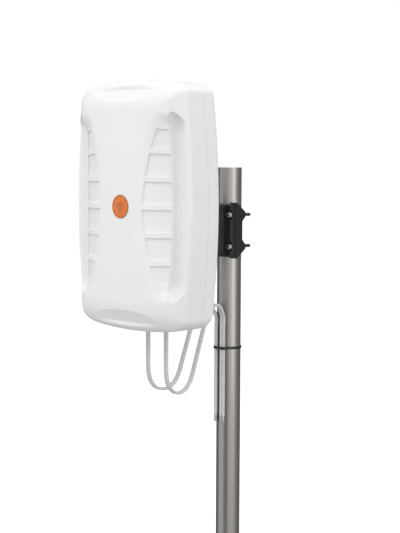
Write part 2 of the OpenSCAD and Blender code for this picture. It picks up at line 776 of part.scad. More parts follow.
module board_bases() {
  color("whitesmoke") for (z = centres) difference() {
    along_y([0, z], base_r, plate_y - 12, plate_y);
    for (turn = [-45, 45]) on_board(z, turn)
      translate([-40, plate_y - 13, -board_t / 2 - 0.4]) cube([80, board_rear - plate_y + 13.1, board_t + 0.8]);
    at_base_screws(z) along_y([0, 0], 1.7, plate_y - 13, plate_y + cut);
    at_base_screws(z) along_y([0, 0], 3.4, plate_y - 13, plate_y - 4);
  }
}

module base_screws() {
  color("silver") for (z = centres) at_base_screws(z) {
    along_y([0, 0], 1.5, plate_y - 4, plate_y + 6);
    along_y([0, 0], 3, plate_y - 6, plate_y - 4);
  }
}

// ---------- feeds and cables ----------

lead_d = 2.6;
lead_in = gland_top;
// Routes from the left gland; the right gland's are their mirror images
lower_lead = [
  [-20.3, gland_y, lead_in, 0], [-20.3, -188, 532, 0], [-20.3, -194, 542, 0], [-20, -201, 554, 0],
  [-18, -206, 568, 0], [-15, -209, 583, 0], [-11.5, -211, 598, 0], [-9.5, -212, 611, 0],
  [-8.5, -212, 622, 0]
];
upper_lead = [
  [-25.7, gland_y, lead_in, 0], [-26, -189, 531, 0], [-28, -196, 539, 0], [-34, -202, 547, 0],
  [-44, -206, 556, 0], [-58, -206, 569, 0], [-71, -206, 586, 0], [-79, -205, 606, 0],
  [-81, -205, 630, 0], [-81, -205, 656, 0], [-79, -205, 680, 0], [-72, -205, 702, 0],
  [-58, -205, 718, 0], [-42, -205, 728, 0], [-26, -206, 739, 0], [-16, -208, 754, 0],
  [-11, -210, 772, 0], [-9, -212, 792, 0], [-8.5, -212, 818, 0]
];
function mirrored(route) = [for (p = route) [-p.x, p.y, p.z, p[3]]];

module feed_lead(route) {
  color("saddlebrown") sweep(route, lead_d, lead_d, 8);
}

module feed_lead_1() { feed_lead(lower_lead); }
module feed_lead_2() { feed_lead(upper_lead); }
module feed_lead_3() { feed_lead(mirrored(lower_lead)); }
module feed_lead_4() { feed_lead(mirrored(upper_lead)); }

module cable_gland(x) {
  color([0.75, 0.75, 0.75]) {
    gland_slot(x, 9.5, 6, cable_top, gland_z);
    gland_slot(x, 7, 4.5, gland_z, boss_top + 0.1);
    gland_slot(x, 8.5, 5.5, boss_top + 0.1, gland_top);
  }
}

module cable_gland_left() { cable_gland(-gland_x); }
module cable_gland_right() { cable_gland(gland_x); }

// Space round a cable's first stretch; its lower face is square to the radius from the tilt pivot,
// so the two solids of a cable part there without cutting into each other
module exit_space() {
  lean = atan((pivot_y - gland_y) / (clamp_z - split_z));
  translate([-60, gland_y, split_z]) rotate([-lean, 0, 0]) translate([0, -20, 0]) cube([120, 40, 60]);
}

// The stretch of a cable next to its gland, which tilts with the housing
module cable_exit(route) {
  color([0.8, 0.8, 0.8]) intersection() {
    sweep(route, cable_w, cable_t, 10);
    exit_space();
  }
}

// The rest of a cable, which stays with the clamp and the mast
module twin_cable(route) {
  color([0.8, 0.8, 0.8]) difference() {
    sweep(route, cable_w, cable_t, 10);
    exit_space();
  }
}

module cable_exit_left() { cable_exit(left_route); }
module cable_exit_right() { cable_exit(right_route); }
module twin_cable_left() { twin_cable(left_route); }
module twin_cable_right() { twin_cable(right_route); }

tail_end = 336;
tail_d = 4.4;
plug_end = 324;
plug_r = 2.5;

// Puts children at the lower end of each cable's two cores, turned to lie flat on the mast
module at_cores() {
  for (a = [left_angle, right_angle], s = [-1, 1]) let (p = run_point(a, 0))
    translate([p.x, p.y, 0]) rotate(a) translate([s * cable_w / 4, 0, 0]) children();
}

module connector_tails() {
  color([0.8, 0.8, 0.8]) at_cores()
    translate([0, 0, tail_end]) cylinder(d = tail_d, h = cable_end - tail_end);
}

module coax_connectors() {
  color("silver") at_cores() difference() {
    union() {
      translate([0, 0, plug_end + 7]) cylinder(r = plug_r - 0.2, h = tail_end - plug_end - 7);
      translate([0, 0, plug_end]) cylinder(r = plug_r, h = 7);
    }
    translate([0, 0, plug_end - cut]) cylinder(r = plug_r - 0.8, h = 5 + cut);
  }
}

tie_h = 4.6;
tie_t = 1.2;

module tie_outline(grow) {
  hull() {
    circle(r = mast_r + 0.4 + grow);
    for (a = [left_angle, right_angle]) let (p = run_point(a, 0))
      translate([p.x, p.y]) rotate(a) scale([cable_w / cable_t, 1])
        circle(r = cable_t / 2 + 0.25 + grow / 2, $fn = 32);
  }
}

module cable_tie() {
  color([0.08, 0.08, 0.08]) {
    translate([0, 0, tie_z - tie_h / 2]) linear_extrude(tie_h) difference() {
      tie_outline(tie_t);
      tie_outline(0);
    }
    rotate(30) translate([-4, mast_r + 0.4 + tie_t / 2, tie_z - 4]) cube([8, 4.5, 8]);
  }
}

mast_tube();
clamp_front_jaw();
clamp_rear_jaw();
clamp_bolts();
clamp_washers();
clamp_inserts();
tilt_pivot_bolt();
tilt_lock_bolt();
tilt_washers();
tilt_nuts();
tilt_bracket();
bracket_screws();
bracket_inserts();
rear_cover();
front_cover();
cover_seal();
cover_screws();
badge();
vent_plug();
reflector_plate();
reflector_screws();
upper_board_plus();
upper_board_minus();
lower_board_plus();
lower_board_minus();
upper_elements();
lower_elements();
board_bases();
base_screws();
feed_lead_1();
feed_lead_2();
feed_lead_3();
feed_lead_4();
cable_gland_left();
cable_gland_right();
cable_exit_left();
cable_exit_right();
twin_cable_left();
twin_cable_right();
connector_tails();
coax_connectors();
cable_tie();
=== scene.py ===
"""Looks of the mast-mounted panel antenna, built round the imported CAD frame."""

import json
import math

import bmesh
import bpy
import numpy as np
from mathutils import Matrix, Vector

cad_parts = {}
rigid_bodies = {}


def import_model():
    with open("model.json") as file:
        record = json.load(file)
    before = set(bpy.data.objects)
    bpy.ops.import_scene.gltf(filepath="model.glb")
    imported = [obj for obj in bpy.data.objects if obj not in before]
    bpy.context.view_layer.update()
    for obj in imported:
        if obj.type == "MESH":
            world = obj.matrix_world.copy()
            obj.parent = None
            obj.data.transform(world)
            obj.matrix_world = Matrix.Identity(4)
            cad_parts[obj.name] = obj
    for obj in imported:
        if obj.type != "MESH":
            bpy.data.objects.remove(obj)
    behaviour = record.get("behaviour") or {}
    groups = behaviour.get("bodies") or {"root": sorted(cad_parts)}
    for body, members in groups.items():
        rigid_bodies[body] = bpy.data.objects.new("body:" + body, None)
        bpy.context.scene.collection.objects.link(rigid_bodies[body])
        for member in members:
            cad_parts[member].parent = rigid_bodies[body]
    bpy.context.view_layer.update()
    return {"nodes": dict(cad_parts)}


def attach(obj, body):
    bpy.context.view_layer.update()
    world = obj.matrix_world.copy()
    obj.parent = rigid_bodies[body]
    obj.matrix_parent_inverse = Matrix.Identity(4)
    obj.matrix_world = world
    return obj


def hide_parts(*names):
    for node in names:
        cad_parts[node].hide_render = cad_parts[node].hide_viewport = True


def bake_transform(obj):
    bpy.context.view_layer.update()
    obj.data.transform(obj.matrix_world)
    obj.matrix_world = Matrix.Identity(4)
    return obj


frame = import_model()
scene = bpy.context.scene
MM = 0.001


# ---------- mesh helpers: every size below is in millimetres ----------


def mesh_object(name, points, faces, smooth=True):
    mesh = bpy.data.meshes.new(name)
    mesh.from_pydata([tuple(p) for p in np.asarray(points, float) * MM], [], faces)
    mesh.update()
    obj = bpy.data.objects.new(name, mesh)
    scene.collection.objects.link(obj)
    if smooth:
        mesh.shade_smooth()
    return obj


def sharpen(obj, degrees=32):
    """Smooth shading with the edges above an angle kept sharp."""
    bm = bmesh.new()
    bm.from_mesh(obj.data)
    bmesh.ops.recalc_face_normals(bm, faces=bm.faces)
    limit = math.radians(degrees)
    for face in bm.faces:
        face.smooth = True
    for edge in bm.edges:
        edge.smooth = len(edge.link_faces) == 2 and edge.calc_face_angle(0) < limit
    bm.to_mesh(obj.data)
    bm.free()
    return obj


def ring_faces(count, sides, start=0, flip=False):
    faces = []
    for j in range(count - 1):
        for i in range(sides):
            a, b = start + j * sides + i, start + j * sides + (i + 1) % sides
            face = (a, b, b + sides, a + sides)
            faces.append(face[::-1] if flip else face)
    return faces


def rings_object(name, rings, degrees=32, loop=False):
    """A closed surface through equal rings: fans close its ends, or the last ring meets the first."""
    rings = [np.asarray(r, float) for r in rings]
    sides = len(rings[0])
    points = np.vstack(rings)
    faces = ring_faces(len(rings), sides)
    first = (len(rings) - 1) * sides
    if loop:
        faces += [(first + i, first + (i + 1) % sides, (i + 1) % sides, i) for i in range(sides)]
        return sharpen(mesh_object(name, points, faces), degrees)
    points = np.vstack([points, rings[0].mean(0), rings[-1].mean(0)])
    for i in range(sides):
        k = (i + 1) % sides
        faces += [(k, i, len(points) - 2), (first + i, first + k, len(points) - 1)]
    return sharpen(mesh_object(name, points, faces), degrees)


def turned(outline, sides=64):
    """Rings about +Z through rows of radius, height and, on a hexagon, width across its flats."""
    angles = np.linspace(0, 2 * math.pi, sides, endpoint=False)
    off_corner = (angles + math.pi / 6) % (math.pi / 3) - math.pi / 6
    rings = []
    for radius, height, *flats in outline:
        r = np.full(sides, float(radius))
        if flats:
            r = np.minimum(r, flats[0] / 2 / np.cos(off_corner))
        rings.append(np.stack([r * np.cos(angles), r * np.sin(angles), np.full(sides, height)], 1))
    return rings


def placed(rings, origin, axis):
    """The rings with their +Z turned to an axis and moved to an origin."""
    z = np.array(axis, float) / np.linalg.norm(axis)
    side = np.array([0, 0, 1.0]) if abs(z[2]) < 0.9 else np.array([1.0, 0, 0])
    x = np.cross(side, z)
    x /= np.linalg.norm(x)
    turn = np.stack([x, np.cross(z, x), z])
    return [np.asarray(r) @ turn + np.array(origin, float) for r in rings]


def threaded(radius, z0, z1, pitch, depth, sides=40, steps=6):
    """Rings of a thread with a rounded crest between two heights, fading out at both ends."""
    angles = np.linspace(0, 2 * math.pi, sides, endpoint=False)
    rings = []
    for z in np.linspace(z0, z1, max(4, int((z1 - z0) / pitch * steps))):
        phase = (z / pitch - angles / (2 * math.pi)) % 1.0
        wave = 1 - np.abs(2 * phase - 1)
        fade = min(1.0, (z - z0) / (0.8 * pitch), (z1 - z) / (0.8 * pitch))
        r = radius - depth * max(0.0, fade) * wave
        rings.append(np.stack([r * np.cos(angles), r * np.sin(angles), np.full(sides, z)], 1))
    return rings


def joined(name, objects):
    """One object from several."""
    for o in bpy.data.objects:
        o.select_set(False)
    for o in objects:
        o.select_set(True)
    bpy.context.view_layer.objects.active = objects[0]
    if len(objects) > 1:
        bpy.ops.object.join()
    objects[0].name = name
    objects[0].data.name = name
    return objects[0]


def applied(obj):
    """Applies the object's modifiers."""
    graph = bpy.context.evaluated_depsgraph_get()
    mesh = bpy.data.meshes.new_from_object(obj.evaluated_get(graph))
    obj.modifiers.clear()
    old = obj.data
    obj.data = mesh
    bpy.data.meshes.remove(old)
    return obj


def cut(obj, cutter):
    """Subtracts a closed mesh and removes it."""
    modifier = obj.modifiers.new("cut", "BOOLEAN")
    modifier.operation = "DIFFERENCE"
    modifier.solver = "EXACT"
    modifier.object = cutter
    applied(obj)
    bpy.data.objects.remove(cutter)
    return obj


def finished(obj, body, material, slot, *nodes):
    """Gives a piece its material and its body, and the CAD nodes it stands for."""
    obj.data.materials.clear()
    obj.data.materials.append(material)
    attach(obj, body)
    if nodes:
        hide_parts(*nodes)
    return obj


# ---------- camera and cords ----------

CAMERA_PLACE = (1.5935, -1.7104, 0.7961)
CAMERA_TURN = (44.31, 4.44, 0.24)  # degrees round the mast, downwards and clockwise

camera_data = bpy.data.cameras.new("camera")
camera = bpy.data.objects.new("camera", camera_data)
scene.collection.objects.link(camera)
scene.camera = camera
camera_data.lens = 84.5
camera_data.sensor_width = 36
camera_data.sensor_fit = "AUTO"
camera_data.clip_start = 0.05
camera_data.clip_end = 60
azimuth, pitch, roll = (math.radians(x) for x in CAMERA_TURN)
level = Vector((math.cos(azimuth), math.sin(azimuth), 0))
ahead = Vector((-math.sin(azimuth), math.cos(azimuth), 0)) * math.cos(pitch) - Vector((0, 0, math.sin(pitch)))
upward = level.cross(ahead)
right_way = level * math.cos(roll) + upward * math.sin(roll)
up_way = upward * math.cos(roll) - level * math.sin(roll)
camera_axes = Matrix((right_way, up_way, -ahead)).transposed().to_4x4()
camera.matrix_world = Matrix.Translation(CAMERA_PLACE) @ camera_axes

MAST_R, MAST_WALL, MAST_TOP = 22.5, 2.0, 800.0
CABLE_W, CABLE_T = 10.4, 5.2
CORE_IN = (CABLE_W - CABLE_T) / 2  # from a twin cable's middle to each core
RUN = MAST_R + CABLE_T / 2 + 0.4  # radius at which the cables lie along the mast
LEFT_ANGLE, RIGHT_ANGLE = -24.6, 16.0


def run_point(angle, z):
    """A row of a route along the mast, at an angle round it from the front."""
    a = math.radians(angle)
    return [RUN * math.sin(a), -RUN * math.cos(a), z, angle]


CABLE_TOP, CABLE_END = 515.75 - 3.4, 342.0
ROUTES = {
    "left": [
        [-23, -186.5, CABLE_TOP, 0], [-23, -186.5, 500, 0], [-23, -186.5, 484, 0], [-23, -186.5, 466, 0],
        [-23, -186.5, 449, 0], [-23, -185, 432, 0], [-22.5, -180, 417, 0], [-21.5, -170.5, 406, 0],
        [-20.5, -158, 400.5, 0], [-19.5, -144, 400, 0], [-19, -131, 405, 0], [-18, -120.5, 415, 0],
        [-17.5, -113, 429, 0], [-17, -107, 446, 0], [-16.5, -101, 463, 0], [-16, -95, 480, 0],
        [-15.5, -89, 497, 0], [-15, -81.5, 514, -2], [-14, -71, 530, -4], [-13, -58, 541, -8],
        [-12, -43.5, 544, -12], [-11, -32, 536, -18],
    ] + [run_point(LEFT_ANGLE, z) for z in (520, 502, 484, 464, 444, 420, 396, 374, CABLE_END)],
    "right": [
        [23, -186.5, CABLE_TOP, 0], [23, -186.5, 500, 0], [23, -186.5, 484, 0], [23, -186.5, 466, 0],
        [23, -186.5, 449, 0], [23, -185.5, 431, 0], [22.5, -180.5, 416, 0], [21.5, -170.5, 404, 0],
        [20, -157, 397.5, 0], [18.5, -143, 397.5, 0], [17, -130, 403, 0], [16, -119.5, 413.5, 0],
        [15.5, -112, 428, 0], [15, -105.5, 445, 0], [14.5, -99, 462, 0], [14, -92.5, 479, 0],
        [13.5, -86, 496, 0], [13, -79, 513, 0], [12, -69.5, 530, 0], [10.5, -57, 542.5, 4],
        [9, -43, 546.5, 8], [7.5, -31.5, 539, 12],
    ] + [run_point(RIGHT_ANGLE, z) for z in (523, 504, 484, 464, 444, 420, 396, 374, CABLE_END)],
}


def spline(points, step):
    """Points about a step apart on a smooth curve through the given ones (centripetal Catmull-Rom)."""
    p = np.asarray(points, float)
    p = np.vstack([2 * p[0] - p[1], p, 2 * p[-1] - p[-2]])
    out = []
    for i in range(1, len(p) - 2):
        a, b, c, d = p[i - 1 : i + 3]
        n = max(2, int(np.linalg.norm((c - b)[:3]) / step))
        t = [0.0]
        for u, v in ((a, b), (b, c), (c, d)):
            t.append(t[-1] + max(1e-6, np.linalg.norm((v - u)[:3])) ** 0.5)
        for s in np.linspace(t[1], t[2], n, endpoint=False):
            a1 = (t[1] - s) / (t[1] - t[0]) * a + (s - t[0]) / (t[1] - t[0]) * b
            a2 = (t[2] - s) / (t[2] - t[1]) * b + (s - t[1]) / (t[2] - t[1]) * c
            a3 = (t[3] - s) / (t[3] - t[2]) * c + (s - t[2]) / (t[3] - t[2]) * d
            b1 = (t[2] - s) / (t[2] - t[0]) * a1 + (s - t[0]) / (t[2] - t[0]) * a2
            b2 = (t[3] - s) / (t[3] - t[1]) * a2 + (s - t[1]) / (t[3] - t[1]) * a3
            out.append((t[2] - s) / (t[2] - t[1]) * b1 + (s - t[1]) / (t[2] - t[1]) * b2)
    return np.array(out + [p[-2]])


def swept(name, route, section):
    """A tube along rows of x, y, z and heading, with section points of (across, thick)."""
    place = route[:, :3]
    way = np.gradient(place, axis=0)
    way /= np.linalg.norm(way, axis=1)[:, None]
    heading = np.radians(route[:, 3])
    flat = np.stack([np.cos(heading), np.sin(heading), np.zeros(len(heading))], 1)
    thick = np.cross(way, flat)
    thick /= np.linalg.norm(thick, axis=1)[:, None]
    wide = np.cross(thick, way)
    across, through = section[:, 0], section[:, 1]
    rings = [p + np.outer(across, w) + np.outer(through, t) for p, w, t in zip(place, wide, thick)]
    return rings_object(name, rings, degrees=50)


def twin_section(half_web=0.9, n=15):
    """Two round cores side by side with a narrow web, as one closed outline."""
    r = CABLE_T / 2
    open_angle = math.asin(half_web / r)
    a = np.linspace(-math.pi + open_angle, math.pi - open_angle, n)
    right = np.stack([CORE_IN + r * np.cos(a), r * np.sin(a)], 1)
    return np.vstack([right, -right])


cables = {}
for side, route in ROUTES.items():
    line = spline(route, 2.5)
    cables[side] = swept("cable_" + side, line, twin_section())
    cables[side + "_line"] = line[:, :3] * MM


# ---------- housing ----------

HALF_W, HALF_H, HOUSE_Z = 143.0, 216.25, 732.0
FRONT, SEAM, BACK, EDGE, BACK_ROUND = 273.6, 204.5, 170.5, 238.4, 15.8
CORE_X, CORE_Z, CORNER_X, CORNER_Z, KEEP, POWER = 74.0, 161.0, 52.0, 19.0, 0.63, 0.8
SIDE_BOW, END_BOW, FACE_BOW = 0.111, 0.046, 1.2
WALL = 3.5
SEAM_EDGE = ((0.15, 0.9), (0.45, 0.35), (1.0, 0))  # eased edge at the joint: distance from it, and inset
# Pads: their column's outer and inner edge, and the slope that they lie in
PAD_OUT_X, PAD_OUT_Y, PAD_OUT_RISE = 107.8, -254.4, 4.1
PAD_IN_X, PAD_IN_GROW, PAD_IN_POWER = 51.5, 34, 1.8
PADS, PADS_TOP, PAD_PITCH, RIB_H, END_PAD_H = 6, 133.4, 47.7, 8.8, 33.5
WING_LEAD, WING_LEAD_H, WING_OUT, WING_FADE = 16, 40, 18, 30
# Each pad cutter's layers, floor first: depth below the face, and how far its walls lean outwards there
PAD_LAYERS = ((3.6, 0.0), (3.1, 0.04), (0.9, 0.25), (0.25, 0.45), (-0.25, 0.9), (-6, 0.9))
# Groove outside the pads: middle, half widths inwards and outwards, floor, and its rounded ends
GROOVE_X, GROOVE_IN, GROOVE_OUT, GROOVE_Y = 117, 19, 23.3, -240.5
GROOVE_END, GROOVE_END_X, GROOVE_END_W, GROOVE_END_SLOPE, GROOVE_RAMP = 143, 104, 16, 1.3, 24
# Scoops at the top and bottom: an inclined facet with a curved start, a lip and two side walls
SCOOP_FROM, SCOOP_TO, SCOOP_ARC, SCOOP_SLOPE = 173.5, 206, 0.0011, 0.62
SCOOP_HALF, SCOOP_SIDE, SCOOP_LIP = 88, 8, 6.5


def around(r, n=(110, 36, 44)):
    """The outline at rounding r, counter-clockwise as seen from the front: rows of x and height."""
    x, z = CORE_X + (HALF_W - CORE_X) * r, CORE_Z + (HALF_H - CORE_Z) * r
    k = r + KEEP * (1 - r)
    a, c = CORNER_X * k, CORNER_Z * k
    t = np.linspace(0, math.pi / 2, n[1])
    cos, sin = np.maximum(np.cos(t), 0) ** POWER, np.sin(t) ** POWER
    quarter = np.vstack([
        np.stack([np.full(n[0], x), np.linspace(0, z - c, n[0] + 1)[:-1]], 1),
        np.stack([x - a + a * cos, z - c + c * sin], 1),
        np.stack([np.linspace(x - a, 0, n[2] + 1)[1:], np.full(n[2], z)], 1),
    ])
    return np.vstack([quarter, quarter[-2::-1] * [-1, 1], quarter[1:] * [-1, -1], quarter[-2:0:-1] * [1, -1]])


def bowed(p):
    """Rows of x and height with the sides and ends bowed outwards in their middles."""
    return np.stack([
        p[:, 0] * (1 - SIDE_BOW * (p[:, 1] / HALF_H) ** 2),
        p[:, 1] * (1 - END_BOW * (p[:, 0] / HALF_W) ** 2),
    ], 1)


def pillow(z, r):
    """Depth of the front face before anything is sunk into it."""
    bow = FACE_BOW * (z / HALF_H) ** 2
    return -FRONT + bow + (FRONT - EDGE - bow) * (1 - np.sqrt(np.maximum(0, 1 - r * r)))


def step(t):
    """A smooth rise from 0 to 1."""
    t = np.clip(t, 0, 1)
    return t * t * (3 - 2 * t)


def pad_in(z):
    """Distance of the pads' inner edge from the middle, which grows towards both ends."""
    return PAD_IN_X + PAD_IN_GROW * (np.abs(z) / PADS_TOP) ** PAD_IN_POWER


def wing(x, z, y):
    """How far the slope under the pads lies below a face at depth y."""
    first = pad_in(z) - WING_LEAD * z**2 / (z**2 + WING_LEAD_H**2)
    share = np.clip((x - first) / (PAD_OUT_X - first), 0, 1)
    beyond = step((PAD_OUT_X + WING_OUT - x) / WING_OUT)
    outer_y = PAD_OUT_Y - PAD_OUT_RISE * np.minimum(1, (z / PADS_TOP) ** 2)
    t = np.clip((np.abs(z) - PADS_TOP) / WING_FADE, 0, 1)
    return np.maximum(0, outer_y - y) * share**1.5 * (1 - t * t) ** 2 * beyond


def groove(x, z, y):
    """How far the groove lies below a face at depth y. Beside the pads it starts at their outer edge."""
    inward = x < GROOVE_X
    across = (x - GROOVE_X) / np.where(inward, GROOVE_IN, GROOVE_OUT)
    end = GROOVE_END + GROOVE_END_SLOPE * np.clip(x - GROOVE_END_X, 0, GROOVE_END_W)
    past = np.clip((np.abs(z) - end + GROOVE_RAMP) / GROOVE_RAMP, 0, 1)
    side = np.maximum(0, 1 - across**2 - past**2) ** np.where(inward, 0.62, 0.75)
    inside = np.where(x <= PAD_OUT_X + 1e-6, step((np.abs(z) - PADS_TOP) / 8), 1)
    return np.maximum(0, GROOVE_Y - y) * side * inside


def scoop(x, z, y):
    """How far a scoop lies below a face at depth y, for x and z without their signs."""
    start = SCOOP_FROM + SCOOP_ARC * x**2
    facet = -FRONT + SCOOP_SLOPE * (z - start) - y
    ends = np.clip((SCOOP_HALF - x) / SCOOP_SIDE, 0, 1)
    lip = np.clip((SCOOP_TO - z) / SCOOP_LIP, 0, 1)
    return np.where(z < start, 0, np.maximum(0, facet) * lip * ends)


def face_depth(p, r):
    """Depth of the front face at rows of x and height on the outline at rounding r."""
    x, z = np.abs(p[:, 0]), p[:, 1]
    y = pillow(z, r)
    return y + np.maximum.reduce([0 * y, wing(x, z, y), groove(x, z, y), scoop(x, np.abs(z), y)])


def shell_object(name, outer, inner, tip_y, inner_tip_y, flip):
    """A shell from its outer and inner rings, each closed at a tip on the housing's centre line."""
    sides, n = len(outer[0]), len(outer)
    tips = [[[0, y, HOUSE_Z]] for y in (tip_y, inner_tip_y)]
    points = np.vstack(outer + inner + tips)
    faces = ring_faces(n, sides, flip=flip) + ring_faces(len(inner), sides, start=n * sides, flip=not flip)
    for count, tip, turned_over in ((n, len(points) - 2, flip), (n + len(inner), len(points) - 1, not flip)):
        last = (count - 1) * sides
        for i in range(sides):
            k = (i + 1) % sides
            faces.append((last + k, last + i, tip) if turned_over else (last + i, last + k, tip))
    for i in range(sides):
        k = (i + 1) % sides
        rim = (i, k, n * sides + k, n * sides + i)
        faces.append(rim if flip else (k, i, n * sides + i, n * sides + k))
    return mesh_object(name, points, faces)


def rounding_at(x):
    """Rounding of the face at a distance from the middle, along the sides' straight part."""
    return np.maximum(0, (np.abs(x) - CORE_X) / (HALF_W - CORE_X))


def in_space(p, y, inset=0.0):
    """Points of an outline's rows at a depth, bowed and drawn inwards by the inset."""
    b = bowed(p) * [1 - inset / HALF_W, 1 - inset / HALF_H]
    return np.stack([b[:, 0], y if np.ndim(y) else np.full(len(b), y), HOUSE_Z + b[:, 1]], 1)


def inner_depth(p):
    """How far the inside of the front face is sunk, so that every wall outside it keeps its thickness."""
    x, z = np.abs(p[:, 0]), p[:, 1]
    deep = np.zeros(len(p))
    for dx in (-9, -6, -3, 0, 3, 6, 9):
        for dz in (-7, 0, 7):
            xx = np.minimum(x + dx, HALF_W - 1)
            y = pillow(z + dz, rounding_at(xx))
            deep = np.maximum(deep, np.maximum(wing(xx, z + dz, y), groove(xx, z + dz, y)))
    at_scoops = np.abs(z) >= CORE_Z + 4
    deep = np.where((x > 34) & ~at_scoops, deep + 2.2, 0)
    return deep + np.where((x < 94) & at_scoops, 3, 0)


def front_cover():
    """The radome: side wall, face and inside. Its rings lie closest where the face has edges."""
    full, core = around(1), around(0)
    crease = rounding_at(PAD_OUT_X)
    levels = list(1 - (1 - np.cos(np.linspace(0, math.pi / 2, 22))) * 0.20)
    levels += list(np.linspace(0.79, crease + 0.004, 40)) + [crease]
    levels += list(np.linspace(crease - 0.012, 0, 30))
    outer = [in_space(full, -SEAM - y, inset) for y, inset in SEAM_EDGE]
    outer += [in_space(full, y) for y in np.linspace(-SEAM - 1.6, -EDGE, 8)]
    outer += [in_space(around(r), face_depth(around(r), r)) for r in levels[1:]]
    outer += [in_space(core * s, face_depth(core * s, 0)) for s in np.linspace(1, 0.02, 44)[1:]]
    inner = [in_space(full, -SEAM - 0.15, WALL), in_space(full, -EDGE + 1, WALL)]
    spots = [(around(r), r) for r in (0.97, 0.9, 0.78, 0.6, 0.45, 0.25, 0.05)]
    spots += [(core * s, 0) for s in (0.95, 0.86, 0.76, 0.66, 0.56, 0.4, 0.03)]
    inner += [in_space(p, pillow(p[:, 1], r) + WALL + inner_depth(p), WALL) for p, r in spots]
    return shell_object("front_shell", outer, inner, -FRONT, -FRONT + WALL, True)


def pad_heights(k):
    """Bottom and top of a pad, counted from the top. The two end pads are lower."""
    top = PADS_TOP if k == 0 else PADS_TOP - END_PAD_H - RIB_H - PAD_PITCH * (k - 1)
    height = END_PAD_H if k in (0, PADS - 1) else PAD_PITCH - RIB_H
    return top - height, top


def pad_cutter(z0, z1, side):
    """Closed cutter whose floor follows the sloping face and whose walls lean outwards."""
    nu, nv = 16, 12
    layers = []
    for depth, grow in PAD_LAYERS:
        grid = []
        for v in np.linspace(0, 1, nv + 1):
            z = z0 + 0.2 - grow * 0.9 + v * (z1 - z0 - 0.4 + 1.8 * grow)
            u = np.linspace(0, 1, nu + 1)
            low = pad_in(z) + 1.1 - grow
            x = low + u * (PAD_OUT_X - 1.3 + grow - low)
            y = face_depth(np.stack([x, np.full(len(x), z)], 1), rounding_at(x))
            grid.append(in_space(np.stack([x, np.full(len(x), z)], 1), y + depth))
        layers.append(np.array(grid))
    floor, roof = layers[0], layers[-1]
    rows, cols = nv + 1, nu + 1
    edge = (
        [(0, i) for i in range(cols)] + [(j, cols - 1) for j in range(1, rows)]
        + [(rows - 1, i) for i in range(cols - 2, -1, -1)] + [(j, 0) for j in range(rows - 2, 0, -1)]
    )
    points, faces = list(floor.reshape(-1, 3)), []
    for j in range(nv):
        for i in range(nu):
            a = j * cols + i
            faces.append((a, a + 1, a + cols + 1, a + cols))
    base = len(points)
    points += list(roof.reshape(-1, 3))
    for j in range(nv):
        for i in range(nu):
            a = base + j * cols + i
            faces.append((a, a + cols, a + cols + 1, a + 1))
    loops = [[j * cols + i for j, i in edge]]
    for layer in layers[1:-1]:
        loops.append(list(range(len(points), len(points) + len(edge))))
        points += [layer[j, i] for j, i in edge]
    loops.append([base + j * cols + i for j, i in edge])
    for low, high in zip(loops, loops[1:]):
        for i in range(len(edge)):
            k = (i + 1) % len(edge)
            faces.append((low[k], low[i], high[i], high[k]))
    points = np.array(points) * [side, 1, 1]
    obj = mesh_object("pad_cutter", points, faces, smooth=False)
    bm = bmesh.new()
    bm.from_mesh(obj.data)
    bmesh.ops.recalc_face_normals(bm, faces=bm.faces)
    bm.to_mesh(obj.data)
    bm.free()
    return obj


def disc_cutter(x, y0, y1, z, r, sides=64):
    return rings_object("disc_cutter", placed(turned([(r, 0), (r, y1 - y0)], sides), (x, y0, z), (0, 1, 0)))


def slot_cutter(x, y, half_long, half_short, z0, z1, n=24):
    """Closed upright cutter with rounded ends, longer across than deep."""
    t = np.linspace(-math.pi / 2, math.pi / 2, n)
    flat = half_long - half_short
    right = np.stack([flat + half_short * np.cos(t), half_short * np.sin(t)], 1)
    outline = np.vstack([right, -right]) + [x, y]
    return rings_object("slot", [np.hstack([outline, np.full((2 * n, 1), z)]) for z in (z0, z1)])


def raised_pad(half_w, half_h, proud, corner_r=4, n=8):
    """The low pad on the back that the bracket is screwed to, its edges eased."""
    rings = []
    foot = ((0.6, -0.4), (0.25, 0.2), (0, 0.8))
    for out, y in foot + ((0, proud - 0.4), (-0.12, proud - 0.12), (-0.4, proud)):
        r = corner_r + out
        t = np.linspace(0, math.pi / 2, n)
        corner = np.stack([half_w - corner_r + r * np.cos(t), half_h - corner_r + r * np.sin(t)], 1)
        outline = np.vstack([corner, corner[::-1] * [-1, 1], -corner, corner[::-1] * [1, -1]])
        rings.append(np.stack([outline[:, 0], np.full(4 * n, -BACK + y), CLAMP_Z + outline[:, 1]], 1))
    return rings_object("raised_pad", rings, 40)


def back_rounding(r, inset, steps):
    """Depths and insets round the back edge, from the side wall to the back."""
    angles = np.linspace(0, math.pi / 2, steps)[1:]
    return [(-BACK - BACK_ROUND + r * math.sin(t), inset + r * (1 - math.cos(t))) for t in angles]


def rear_cover():
    """The back shell, with one rounded edge round its flat back."""
    full = around(1)
    outer = [in_space(full, -SEAM + y, inset) for y, inset in SEAM_EDGE]
    outer += [in_space(full, y) for y in np.linspace(-SEAM + 1.6, -BACK - BACK_ROUND, 4)]
    outer += [in_space(full, y, inset) for y, inset in back_rounding(BACK_ROUND, 0, 14)]
    outer += [in_space(full, -BACK, inset) for inset in (22, 40, 70, 100, 135)]
    inner = [in_space(full, -SEAM + 0.15, WALL), in_space(full, -BACK - BACK_ROUND, WALL)]
    inner += [in_space(full, y, inset) for y, inset in back_rounding(BACK_ROUND - WALL, WALL, 6)]
    inner += [in_space(full, -BACK - WALL, inset) for inset in (40, 90, 135)]
    return shell_object("rear_shell", outer, inner, -BACK, -BACK - WALL, False)


# ---------- materials ----------


